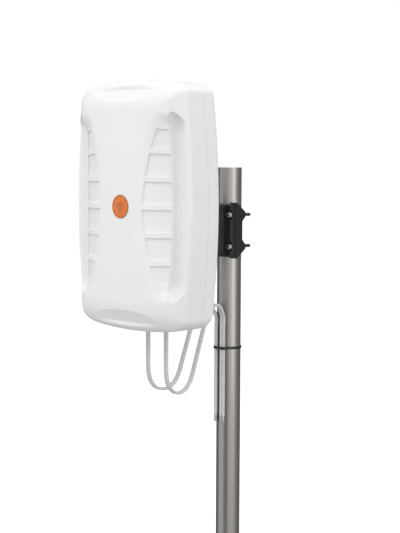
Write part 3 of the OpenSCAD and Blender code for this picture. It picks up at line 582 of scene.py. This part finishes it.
class Shade:
    """A material's node tree, with short calls to add and join nodes."""

    def __init__(self, name):
        self.material = bpy.data.materials.new(name)
        self.material.use_nodes = True
        self.tree = self.material.node_tree
        self.surface = next(n for n in self.tree.nodes if n.type == "BSDF_PRINCIPLED")
        self.place = self.add("ShaderNodeTexCoord").outputs["Object"]

    def add(self, kind, **values):
        node = self.tree.nodes.new(kind)
        for key, value in values.items():
            setattr(node, key, value)
        return node

    def join(self, source, target):
        self.tree.links.new(source, target)

    def set(self, **values):
        for key, value in values.items():
            self.surface.inputs[key.replace("_", " ")].default_value = value
        return self

    def scaled(self, scale):
        node = self.add("ShaderNodeMapping")
        node.inputs["Scale"].default_value = scale
        self.join(self.place, node.inputs["Vector"])
        return node.outputs["Vector"]

    def noise(self, scale, detail=3.0, rough=0.5, stretch=(1, 1, 1)):
        node = self.add("ShaderNodeTexNoise")
        node.inputs["Scale"].default_value = scale
        node.inputs["Detail"].default_value = detail
        node.inputs["Roughness"].default_value = rough
        self.join(self.scaled(stretch), node.inputs["Vector"])
        return node.outputs["Fac"]

    def cells(self, scale):
        node = self.add("ShaderNodeTexVoronoi", feature="F1")
        node.inputs["Scale"].default_value = scale
        self.join(self.place, node.inputs["Vector"])
        return node.outputs["Distance"]

    def span(self, source, low, high, from_low=0.3, from_high=0.7):
        node = self.add("ShaderNodeMapRange")
        ends = {"From Min": from_low, "From Max": from_high, "To Min": low, "To Max": high}
        for name, value in ends.items():
            node.inputs[name].default_value = value
        self.join(source, node.inputs["Value"])
        return node.outputs["Result"]

    def colour(self, source, low, high, from_low=0.3, from_high=0.7):
        ramp = self.add("ShaderNodeValToRGB")
        ramp.color_ramp.elements[0].position = from_low
        ramp.color_ramp.elements[1].position = from_high
        ramp.color_ramp.elements[0].color = (*low, 1)
        ramp.color_ramp.elements[1].color = (*high, 1)
        self.join(source, ramp.inputs["Fac"])
        self.join(ramp.outputs["Color"], self.surface.inputs["Base Color"])

    def roughness(self, source, low, high):
        self.join(self.span(source, low, high), self.surface.inputs["Roughness"])

    def bump(self, *layers):
        """Layers of (height source, strength, depth in millimetres), one over the other."""
        before = None
        for source, strength, depth in layers:
            node = self.add("ShaderNodeBump")
            node.inputs["Strength"].default_value = strength
            node.inputs["Distance"].default_value = depth * MM
            self.join(source, node.inputs["Height"])
            if before:
                self.join(before, node.inputs["Normal"])
            before = node.outputs["Normal"]
        self.join(before, self.surface.inputs["Normal"])


def moulded(name, low, high, rough, grain=900, depth=0.05, specular=0.5):
    """Moulded plastic: spark-eroded grain, faint flow clouds and a slightly uneven gloss."""
    s = Shade(name).set(Specular_IOR_Level=specular)
    clouds = s.noise(9, 3)
    fine = s.noise(grain, 4, 0.6)
    s.colour(clouds, low, high)
    s.roughness(s.noise(60, 4), rough - 0.05, rough + 0.05)
    s.bump((s.noise(14, 2), 0.15, 0.15), (fine, 0.35, depth))
    return s.material


def drawn_metal(name, low, high, rough, stretch, anisotropy=0.0, lines=900):
    """Metal with fine lines: stretch is small along the way that they run."""
    s = Shade(name).set(Metallic=1.0, Anisotropic=anisotropy)
    streaks = s.noise(lines, 5, 0.65, stretch)
    s.colour(s.noise(lines / 3, 4, 0.6, stretch), low, high)
    s.roughness(streaks, rough - 0.06, rough + 0.08)
    s.bump((streaks, 0.05, 0.02))
    if anisotropy:
        tangent = s.add("ShaderNodeTangent", direction_type="RADIAL", axis="Z")
        s.join(tangent.outputs["Tangent"], s.surface.inputs["Tangent"])
    return s.material


def plated(name, low, high, rough):
    """Bright plating: faint clouding, fine turning marks and small pits. The clamp bolts' threads take it in
    a near-black colour that is painted shade.
    """
    s = Shade(name).set(Metallic=1.0)
    s.colour(s.noise(140, 4, 0.6), low, high)
    s.roughness(s.noise(300, 4), rough - 0.05, rough + 0.1)
    s.bump((s.noise(1200, 4, 0.7), 0.15, 0.03), (s.cells(500), 0.06, 0.04))
    return s.material


def jacket(name, low, high, rough):
    """Extruded cable jacket: smooth, with faint waves and scuffs."""
    s = Shade(name).set(Specular_IOR_Level=0.6)
    s.colour(s.noise(45, 4, 0.6), low, high)
    s.roughness(s.noise(90, 4), rough - 0.06, rough + 0.1)
    s.bump((s.noise(150, 3), 0.12, 0.08), (s.noise(1500, 3), 0.12, 0.02))
    return s.material


def laminate(name):
    """Glass-fibre board under green solder mask, with its weave just showing."""
    s = Shade(name).set(Specular_IOR_Level=0.6)
    weave = s.cells(1400)
    s.colour(weave, (0.012, 0.10, 0.04), (0.03, 0.17, 0.07), 0.1, 0.6)
    s.roughness(s.noise(80, 3), 0.25, 0.4)
    s.bump((weave, 0.2, 0.03))
    return s.material


def seal_foam(name):
    """Foamed rubber with open pores."""
    s = Shade(name).set(Specular_IOR_Level=0.3)
    pores = s.cells(1800)
    s.colour(pores, (0.02, 0.02, 0.021), (0.05, 0.05, 0.052), 0.1, 0.7)
    s.roughness(s.noise(200, 3), 0.75, 0.9)
    s.bump((pores, 0.5, 0.12))
    return s.material


COVER = moulded("cover_plastic", (0.845, 0.85, 0.855), (0.875, 0.877, 0.877), 0.42)
JAW = moulded("jaw_plastic", (0.010, 0.010, 0.011), (0.018, 0.018, 0.019), 0.48, 700, 0.12)
COAT = moulded("bracket_coat", (0.011, 0.011, 0.012), (0.02, 0.02, 0.021), 0.42, 450, 0.15)
VENT = moulded("vent_plastic", (0.03, 0.03, 0.031), (0.045, 0.045, 0.046), 0.5)
BASE = moulded("base_plastic", (0.55, 0.55, 0.53), (0.62, 0.62, 0.6), 0.5)
TIE = moulded("tie_nylon", (0.008, 0.008, 0.008), (0.015, 0.015, 0.015), 0.38, 500)
GLAND = moulded("gland_rubber", (0.30, 0.30, 0.31), (0.36, 0.36, 0.37), 0.6, 1100, 0.08, 0.3)
BADGE = moulded("badge_print", (0.70, 0.16, 0.012), (0.76, 0.185, 0.018), 0.28, 1500, 0.02)
BADGE_RING = moulded("badge_ring", (0.50, 0.13, 0.02), (0.56, 0.16, 0.03), 0.35, 1500, 0.02)
BADGE_MARK = moulded("badge_mark", (0.36, 0.10, 0.03), (0.42, 0.12, 0.035), 0.4, 1500, 0.02)
STEEL = drawn_metal("mast_steel", (0.37, 0.355, 0.335), (0.41, 0.395, 0.375), 0.3, (1, 1, 0.012), 0.3)
PLATE = drawn_metal("plate_aluminium", (0.62, 0.63, 0.64), (0.70, 0.71, 0.72), 0.32, (1, 1, 0.02))
ZINC = plated("zinc_steel", (0.60, 0.61, 0.63), (0.70, 0.71, 0.72), 0.25)
# Near-black plating for the clamp bolts' threads: painted shade for the rear jaw's shadow, since the real
# threads are plated like the bright heads
SHADED_THREAD = plated("thread_painted_shade", (0.05, 0.05, 0.05), (0.09, 0.09, 0.09), 0.35)
BRASS = plated("insert_brass", (0.60, 0.43, 0.16), (0.70, 0.52, 0.22), 0.3)
COPPER = plated("copper_foil", (0.72, 0.36, 0.22), (0.80, 0.43, 0.28), 0.3)
NICKEL = plated("connector_nickel", (0.60, 0.59, 0.56), (0.70, 0.69, 0.66), 0.22)
JACKET = jacket("cable_jacket", (0.62, 0.62, 0.62), (0.69, 0.69, 0.69), 0.26)
LEAD = jacket("lead_jacket", (0.10, 0.035, 0.018), (0.13, 0.05, 0.025), 0.35)
BOARD = laminate("board_laminate")
SEAL = seal_foam("seal_rubber")

# ---------- cords on their bodies ----------

TAIL_END, PLUG_END = 336.0, 324.0
TAIL_R = 2.3
UP = (0, 0, 1)


def core_spot(angle, across):
    """Where a cable's core lies round the mast, a distance across from the cable's middle."""
    a = math.radians(angle)
    return RUN * math.sin(a) + across * math.cos(a), -RUN * math.cos(a) + across * math.sin(a), 0


def bead(z, r=2.25, high=0.15):
    """Rows of a raised ring round a sleeve, downwards from z."""
    return [(r, z), (r + high, z - 0.2), (r + high, z - 0.6), (r, z - 0.8)]


def coax_plug(origin):
    """Slim push-on plug: crimped sleeve with two beads, grooved shell with its bore, and a centre pin."""
    z = TAIL_END
    rows = [(2.0, z + 0.5), (2.25, z + 0.3)] + bead(z - 0.6) + bead(z - 2.2)
    rows += [(2.25, z - 4.8), (2.5, z - 5.0)]
    z = PLUG_END
    rows += [(2.5, z + 4.2), (2.35, z + 4.0), (2.35, z + 3.6), (2.5, z + 3.4), (2.5, z + 0.3), (2.3, z)]
    rows += [(1.8, z), (1.7, z + 0.2), (1.7, z + 5.5), (0.4, z + 5.5), (0.4, z + 1.0), (0.2, z + 0.7)]
    return rings_object("plug", placed(turned(rows, 48), origin, UP), 34)


for side, angle in (("left", LEFT_ANGLE), ("right", RIGHT_ANGLE)):
    tails, plugs = [], []
    for across in (-CORE_IN, CORE_IN):
        spot = core_spot(angle, across)
        rows = [(TAIL_R - 0.1, CABLE_END + 0.6), (TAIL_R, CABLE_END - 0.6), (TAIL_R, TAIL_END)]
        tails.append(rings_object("tail", placed(turned(rows, 32), spot, UP), 50))
        plugs.append(coax_plug(spot))
    finished(joined("cable_tails_" + side, tails), "clamp", JACKET, "cable_jacket")
    finished(joined("coax_plugs_" + side, plugs), "clamp", NICKEL, "connector_nickel")
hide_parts("connector_tails")
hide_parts("coax_connectors")

for side in ROUTES:
    obj = cables[side]
    obj.data.materials.append(JACKET)
    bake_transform(obj)
    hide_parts("twin_cable_" + side, "cable_exit_" + side)
    line = cables[side + "_line"]

# ---------- cable tie ----------

TIE_Z = 464.0
TIE_GAP = 0.4  # from the mast to the inside of the strap
# The strap's section: distance outwards and height
STRAP = ((0, -2.3), (0, 2.3), (0.35, 2.5), (0.9, 2.5), (1.2, 2.2), (1.2, -2.2), (0.9, -2.5), (0.35, -2.5))
TIE_HEAD = (8, 5.2, 7.4)


def band_outline(grow, n=160):
    """Convex outline round the mast and both cables, grown by a distance."""
    a = np.linspace(0, 2 * math.pi, n, endpoint=False)
    way = np.stack([np.cos(a), np.sin(a)], 1)
    spots = [(np.zeros(2), MAST_R + TIE_GAP)]
    for angle in (LEFT_ANGLE, RIGHT_ANGLE):
        middle = np.array(run_point(angle, 0)[:2])
        t = math.radians(angle)
        across = np.array([math.cos(t), math.sin(t)])
        spots += [(middle + s * CORE_IN * across, CABLE_T / 2 + 0.3) for s in (-1, 1)]
    reach = np.max([way @ c + r for c, r in spots], 0)
    slope = (np.roll(reach, -1) - np.roll(reach, 1)) / (2 * (a[1] - a[0]))
    return way * (reach + grow)[:, None] + np.stack([-np.sin(a), np.cos(a)], 1) * slope[:, None]


def cable_tie():
    """The strap and, behind the mast and 30 degrees to its side, the head."""
    band = []
    for grow, z in STRAP:
        p = band_outline(grow)
        band.append(np.hstack([p, np.full((len(p), 1), TIE_Z + z)]))
    strap = rings_object("strap", band, 40, loop=True)
    bm = bmesh.new()
    bmesh.ops.create_cube(bm, size=1)
    bmesh.ops.scale(bm, vec=TIE_HEAD, verts=bm.verts)
    bmesh.ops.bevel(bm, geom=bm.edges[:], offset=1.1, segments=4, profile=0.5, affect="EDGES")
    bmesh.ops.translate(bm, vec=(0, MAST_R + TIE_GAP + 2.8, 0), verts=bm.verts)
    bmesh.ops.rotate(bm, cent=(0, 0, 0), matrix=Matrix.Rotation(math.radians(30), 3, "Z"), verts=bm.verts)
    bmesh.ops.translate(bm, vec=(0, 0, TIE_Z), verts=bm.verts)
    bmesh.ops.scale(bm, vec=(MM, MM, MM), verts=bm.verts)
    mesh = bpy.data.meshes.new("tie_head")
    bm.to_mesh(mesh)
    bm.free()
    head = bpy.data.objects.new("tie_head", mesh)
    scene.collection.objects.link(head)
    sharpen(head, 40)
    return joined("cable_tie_strap", [strap, head])


finished(cable_tie(), "clamp", TIE, "tie_nylon", "cable_tie")

# ---------- mast and clamp ----------


def mast():
    outer, inner, top = MAST_R, MAST_R - MAST_WALL, MAST_TOP
    outline = [(inner, 0.5), (inner + 0.4, 0.0), (outer - 0.5, 0.0), (outer, 0.5)]
    outline += [(outer, z) for z in np.linspace(20, top - 20, 24)]
    outline += [(outer, top - 0.5), (outer - 0.5, top), (inner + 0.4, top), (inner, top - 0.5)]
    return rings_object("mast", turned(outline, 144), 35, loop=True)


finished(mast(), "mast", STEEL, "mast_steel", "mast_tube")


def bevelled(node, name, width, segments=3, degrees=35, turn=40):
    """A new piece from a CAD node's own faces, with its sharp edges rounded."""
    mesh = frame["nodes"][node].data.copy()
    mesh.materials.clear()
    obj = bpy.data.objects.new(name, mesh)
    scene.collection.objects.link(obj)
    bm = bmesh.new()
    bm.from_mesh(mesh)
    bmesh.ops.remove_doubles(bm, verts=bm.verts, dist=2e-6)
    bmesh.ops.dissolve_limit(bm, angle_limit=math.radians(0.5), verts=bm.verts, edges=bm.edges)
    bm.to_mesh(mesh)
    bm.free()
    modifier = obj.modifiers.new("bevel", "BEVEL")
    modifier.width = width * MM
    modifier.segments = segments
    modifier.limit_method = "ANGLE"
    modifier.angle_limit = math.radians(degrees)
    modifier.miter_outer = "MITER_ARC"
    return sharpen(applied(obj), turn)


for node, name, width in (("clamp_front_jaw", "front_jaw", 0.9), ("clamp_rear_jaw", "rear_jaw", 1.2)):
    finished(bevelled(node, name, width), "clamp", JAW, "jaw_plastic", node)
finished(bevelled("tilt_bracket", "tilt_bracket_arm", 0.8), "antenna", COAT, "bracket_coat", "tilt_bracket")


def hex_head(z0, z1, flats, both_ends=True):
    """Rows of a hexagonal head or nut from z0 to z1, its corners chamfered at z0 and, if asked, at z1."""
    corner = flats / 2 / math.cos(math.pi / 6)
    face = flats / 2 * 0.96
    drop = (corner - face) * 0.6
    chamfer = [(face + (corner - face) * t, drop * t) for t in (0, 0.25, 0.5, 0.75, 1)]
    rows = [(r, z0 + high, flats) for r, high in chamfer]
    if both_ends:
        return rows + [(r, z1 - high, flats) for r, high in chamfer[::-1]]
    return rows + [(corner, z1, flats)]


def washer(origin, axis, z0, z1, bore, radius, e=0.2):
    outline = [(bore, z0 + e), (bore + e, z0), (radius - e, z0), (radius, z0 + e)]
    outline += [(radius, z1 - e), (radius - e, z1), (bore + e, z1), (bore, z1 - e)]
    return rings_object("washer", placed(turned(outline), origin, axis), 50, loop=True)


def bolt(origin, axis, size, seat, thread_from, tip):
    """A bolt from its head, which ends at the seat, to its tip. Its rolled thread is a second object."""
    shank_r, flats, head, pitch = size
    rows = [(0.8, seat - head + 0.15, flats)] + hex_head(seat - head, seat, flats, both_ends=False)
    rows += [(shank_r, seat), (shank_r, thread_from)]
    thread = threaded(shank_r, thread_from + 0.1, tip - 0.9, pitch, 0.61 * pitch * 0.9, 72, 8)
    point = turned([(shank_r - 0.1, tip - 0.8), (shank_r - 0.7 * pitch, tip)], 72)
    shank = rings_object("bolt", placed(turned(rows, 72), origin, axis), 42)
    return shank, rings_object("thread", placed(thread + point, origin, axis), 42)


def nut(origin, axis, z0, z1, flats, bore):
    rows = hex_head(z0, z1, flats)
    rows += [(bore + 0.45, z1), (bore - 0.15, z1 - 0.5), (bore - 0.15, z0 + 0.5), (bore + 0.45, z0)]
    return rings_object("nut", placed(turned(rows, 72), origin, axis), 42, loop=True)


def socket_screw(x, z, head_r, head, shank_r, tip, flats, depth):
    """A socket-head screw from behind: head = (underside, top) in y, the shank forwards to its tip."""
    y0, y1 = head
    rows = [(shank_r - 0.4, tip), (shank_r, tip + 0.5), (shank_r, y0), (head_r - 0.15, y0)]
    rows += [(head_r, y0 + 0.15), (head_r, y1 - 0.45), (head_r - 0.15, y1 - 0.15), (head_r - 0.5, y1)]
    rows += [(flats / 2 + 0.5, y1), (flats, y1 - 0.25, flats), (flats, y1 - depth, flats)]
    rows.append((0.3, y1 - depth - 0.5))
    return rings_object("socket_screw", placed(turned(rows, 72), (x, 0, z), BACKWARDS), 40)


SIDEWAYS, BACKWARDS, FORWARDS = (1, 0, 0), (0, 1, 0), (0, -1, 0)
M6, M8 = (3, 10, 4, 1.0), (4, 13, 5.3, 1.25)  # shank radius, across flats, head height, pitch

CLAMP_Z, BOLT_X, BOLT_PITCH = 684.0, 31.0, 58.0
SEAT, WASHER_T, CLAMP_THREAD, BOLT_TIP = -33.0, 1.4, -18.0, 22.0
bolts, threads, washers = [], [], []
for x in (-BOLT_X, BOLT_X):
    for z in (CLAMP_Z - BOLT_PITCH / 2, CLAMP_Z + BOLT_PITCH / 2):
        spot = (x, 0, z)
        plain, thread = bolt(spot, BACKWARDS, M6, SEAT - WASHER_T, CLAMP_THREAD, BOLT_TIP)
        bolts.append(plain)
        threads.append(thread)
        washers.append(washer(spot, BACKWARDS, SEAT - WASHER_T, SEAT, 3.2, 6.2))
finished(joined("clamp_bolt_set", bolts), "clamp", ZINC, "zinc_steel", "clamp_bolts")
# The threads get the near-black material, which is painted shade where the rods stick out behind the rear jaw
finished(joined("clamp_bolt_threads", threads), "clamp", SHADED_THREAD, "zinc_steel")
finished(joined("clamp_washer_set", washers), "clamp", ZINC, "zinc_steel", "clamp_washers")

PIVOT_Y, LOCK_R = -120.0, 30.0
CHEEK_OUT, TILT_WASHER_T, TILT_NUT_H = 22.05, 1.6, 6.5
TILT_THREAD, TILT_TIP = 14, 33
TILT_FACE = CHEEK_OUT + TILT_WASHER_T
washers, nuts = [], []
for name, y in (("pivot_bolt", PIVOT_Y), ("lock_bolt", PIVOT_Y + LOCK_R)):
    spot = (0, y, CLAMP_Z)
    plain, thread = bolt(spot, SIDEWAYS, M8, -TILT_FACE, TILT_THREAD, TILT_TIP)
    finished(joined(name, [plain, thread]), "clamp", ZINC, "zinc_steel", "tilt_" + name)
    nuts.append(nut(spot, SIDEWAYS, TILT_FACE, TILT_FACE + TILT_NUT_H, 13, 4))
    for inner, outer in ((-TILT_FACE, -CHEEK_OUT), (CHEEK_OUT, TILT_FACE)):
        washers.append(washer(spot, SIDEWAYS, inner, outer, 4.2, 8))
finished(joined("tilt_nut_set", nuts), "clamp", ZINC, "zinc_steel", "tilt_nuts")
finished(joined("tilt_washer_set", washers), "clamp", ZINC, "zinc_steel", "tilt_washers")

BRACKET_SCREW_X, BRACKET_SCREW_Z = 31, 38
screws = [
    socket_screw(x, CLAMP_Z + z, 4.25, (-163.5, -158.5), 2.5, -182, 4, 2.5)
    for x in (-BRACKET_SCREW_X, BRACKET_SCREW_X) for z in (-BRACKET_SCREW_Z, BRACKET_SCREW_Z)
]
finished(joined("bracket_screw_set", screws), "antenna", ZINC, "zinc_steel", "bracket_screws")

# ---------- housing pieces ----------

BADGE_R, BADGE_PLAY = 20.0, 0.35
SCREW_Z, SCREW_IN = (-158, -56, 56, 158), 21
GLAND_X, GLAND_Y = 23, -186.5
VENT_Y, VENT_R = -188.5, 6.15
UNDERSIDE = 515

shell = front_cover()
pads = [pad_cutter(*pad_heights(k), side) for k in range(PADS) for side in (-1, 1)]
cut(shell, joined("pads", pads))
cut(shell, disc_cutter(0, -FRONT - 5, -FRONT + 1.0, HOUSE_Z, BADGE_R + BADGE_PLAY, 96))
sharpen(shell, 24)
finished(shell, "antenna", COVER, "cover_plastic", "front_cover")

rear = rear_cover()
screw_spots = [
    (s * (HALF_W * (1 - SIDE_BOW * (z / HALF_H) ** 2) - SCREW_IN), HOUSE_Z + z)
    for z in SCREW_Z for s in (-1, 1)
]
for x, z in screw_spots:
    cut(rear, disc_cutter(x, -190, -160, z, 4.6, 40))
for x in (-GLAND_X, GLAND_X):
    cut(rear, slot_cutter(x, GLAND_Y, 7.2, 4.7, UNDERSIDE - 15, UNDERSIDE + 15))
vent_hole = placed(turned([(VENT_R, -20), (VENT_R, 20)], 48), (0, VENT_Y, UNDERSIDE), UP)
cut(rear, rings_object("hole", vent_hole))
rear = joined("rear_shell", [rear, raised_pad(44, 52, 2.0)])
sharpen(rear, 30)
finished(rear, "antenna", COVER, "cover_plastic", "rear_cover")

screws = [socket_screw(x, z, 4, (-190, -187), 2, -226, 3, 1.6) for x, z in screw_spots]
finished(joined("cover_screw_set", screws), "antenna", ZINC, "zinc_steel", "cover_screws")

# ---------- badge ----------

DISC_R, DISC_EDGE, DISC_CROWN = 18.6, 0.35, 0.75
MARK_DROP = 6.5  # from the badge's middle down to the mark's dot
BADGE_PLACE, MARK_PLACE = (0, -FRONT, HOUSE_Z), (0, -FRONT, HOUSE_Z - MARK_DROP)


def badge_rim():
    """A rounded ring that stands just proud of the face."""
    rows = [(BADGE_R, -1.1), (BADGE_R, 0.7), (BADGE_R - 0.2, 1.05), (BADGE_R - 0.55, 1.2)]
    rows += [(BADGE_R - 1, 1.15), (DISC_R + 0.15, 0.9), (DISC_R, 0.55)]
    rows += [(DISC_R - 0.6, 0.0), (DISC_R - 1, -1.1)]
    return rings_object("badge_rim", placed(turned(rows, 128), BADGE_PLACE, FORWARDS), 40, loop=True)


def badge_disc():
    """A slightly domed disc inside the ring."""
    rows = [(DISC_R, -0.9), (DISC_R, DISC_EDGE)]
    for t in np.linspace(0.05, 1.55, 14):
        rows.append((DISC_R * math.cos(t) + 0.01, DISC_EDGE + DISC_CROWN * math.sin(t)))
    return rings_object("badge_disc", placed(turned(rows, 128), BADGE_PLACE, FORWARDS), 50)


def badge_arcs():
    """Three raised arcs over a dot: a plain picture of radio waves."""
    made = []
    for radius in (4.5, 8.3, 12.1):
        rings = []
        for t in np.radians(np.linspace(42, 138, 33)):
            out = np.array([math.cos(t), 0, math.sin(t)])
            middle = np.array(MARK_PLACE) + radius * out
            off_middle = (middle[0] ** 2 + (middle[2] - HOUSE_Z) ** 2) / DISC_R**2
            high = DISC_EDGE + DISC_CROWN * math.sqrt(max(0, 1 - off_middle))
            shape = ((-0.9, -0.3), (-0.9, 0.08), (-0.6, 0.14), (0.6, 0.14), (0.9, 0.08), (0.9, -0.3))
            rings.append([middle + a * out + (high + b) * np.array(FORWARDS) for a, b in shape])
        made.append(rings_object("arc", rings, 40))
    dot = turned([(1.7, 0.6), (1.7, 1.12), (1.4, 1.18), (0.1, 1.18)], 40)
    made.append(rings_object("dot", placed(dot, MARK_PLACE, FORWARDS), 40))
    return joined("badge_arcs", made)


finished(badge_rim(), "antenna", BADGE_RING, "badge_print", "badge")
finished(badge_disc(), "antenna", BADGE, "badge_print")
finished(badge_arcs(), "antenna", BADGE_MARK, "badge_print")

# ---------- the CAD nodes that stay ----------

STAYS = {
    "clamp_inserts": BRASS, "bracket_inserts": BRASS, "cover_seal": SEAL, "vent_plug": VENT,
    "reflector_plate": PLATE, "reflector_screws": ZINC, "upper_board_plus": BOARD, "upper_board_minus": BOARD,
    "lower_board_plus": BOARD, "lower_board_minus": BOARD, "upper_elements": COPPER, "lower_elements": COPPER,
    "board_bases": BASE, "base_screws": ZINC, "feed_lead_1": LEAD, "feed_lead_2": LEAD, "feed_lead_3": LEAD,
    "feed_lead_4": LEAD, "cable_gland_left": GLAND, "cable_gland_right": GLAND,
}
for node, material in STAYS.items():
    for place in frame["nodes"][node].material_slots:
        place.material = material

# ---------- stage, light and view ----------


def stage_panel(name, points, material):
    """One flat face on the stage, its points in metres."""
    mesh = bpy.data.meshes.new(name)
    mesh.from_pydata(points, [], [tuple(range(len(points)))])
    obj = bpy.data.objects.new(name, mesh)
    mesh.materials.append(material)
    scene.collection.objects.link(obj)
    return obj


floor_shade = Shade("floor").set(Base_Color=(0.9, 0.9, 0.9, 1), Roughness=0.9)
floor_shade.set(Emission_Color=(1, 1, 1, 1), Emission_Strength=0.3)
floor_shade.bump((floor_shade.noise(3), 0.02, 0.3))
FLOOR_R, FLAG_R = 9.0, 2.4  # metres
floor_angles = np.linspace(0, 2 * math.pi, 96, endpoint=False)
floor_points = [(FLOOR_R * math.cos(a), FLOOR_R * math.sin(a), 0) for a in floor_angles]
floor = stage_panel("floor", floor_points, floor_shade.material)
floor.visible_diffuse = False
floor.visible_glossy = False


def flag(name, first, last, glow, low=-3.0, high=3.0):
    """An upright panel that only reflections see, between two angles round the mast from the camera."""
    shade = Shade(name).set(Base_Color=(0, 0, 0, 1), Roughness=1.0, Specular_IOR_Level=0.0)
    shade.set(Emission_Color=(1, 1, 1, 1), Emission_Strength=glow)
    points = []
    for angle, z in ((first, low), (last, low), (last, high), (first, high)):
        a = azimuth + math.radians(angle)
        points.append((FLAG_R * math.sin(a), -FLAG_R * math.cos(a), z))
    obj = stage_panel(name, points, shade.material)
    for ray in ("camera", "diffuse", "transmission", "volume_scatter", "shadow"):
        setattr(obj, "visible_" + ray, False)


for name, first, last, glow in (
    ("flag_front", -42, -6, 0.24), ("flag_right", 62, 92, 0.45), ("flag_right_back", 92, 140, 0.22),
    ("flag_back", 140, 180, 0.2), ("flag_left_back", 180, 220, 0.15), ("flag_left", 220, 258, 0.2),
):
    flag(name, first, last, glow)
flag("glow_right", 26, 58, 1.9, 0.0)

world = bpy.data.worlds.new("world")
scene.world = world
world.use_nodes = True
sky = world.node_tree.nodes["Background"]
sky.inputs["Color"].default_value = (1, 1, 1, 1)
sky_place = world.node_tree.nodes.new("ShaderNodeTexCoord")
sky_height = world.node_tree.nodes.new("ShaderNodeSeparateXYZ")
sky_ramp = world.node_tree.nodes.new("ShaderNodeMapRange")
sky_ramp.interpolation_type = "SMOOTHSTEP"
for name, value in (("From Min", -0.55), ("From Max", 0.0), ("To Min", 0.55), ("To Max", 1.02)):
    sky_ramp.inputs[name].default_value = value
world.node_tree.links.new(sky_place.outputs["Generated"], sky_height.inputs["Vector"])
world.node_tree.links.new(sky_height.outputs["Z"], sky_ramp.inputs["Value"])
world.node_tree.links.new(sky_ramp.outputs["Result"], sky.inputs["Strength"])


def area_light(name, place, target, size, power):
    data = bpy.data.lights.new(name, "AREA")
    data.shape = "RECTANGLE"
    data.size, data.size_y = size
    data.energy = power
    obj = bpy.data.objects.new(name, data)
    obj.location = place
    obj.rotation_euler = (Vector(target) - Vector(place)).to_track_quat("-Z", "Y").to_euler()
    scene.collection.objects.link(obj)


area_light("key", (-0.3, -1.9, 2.5), (0, -0.2, 0.8), (1.4, 1.0), 9)
area_light("top", (0.2, 0.1, 2.8), (0, -0.1, 0.8), (1.6, 1.6), 5)
scene.view_settings.view_transform = "Standard"
scene.view_settings.look = "None"
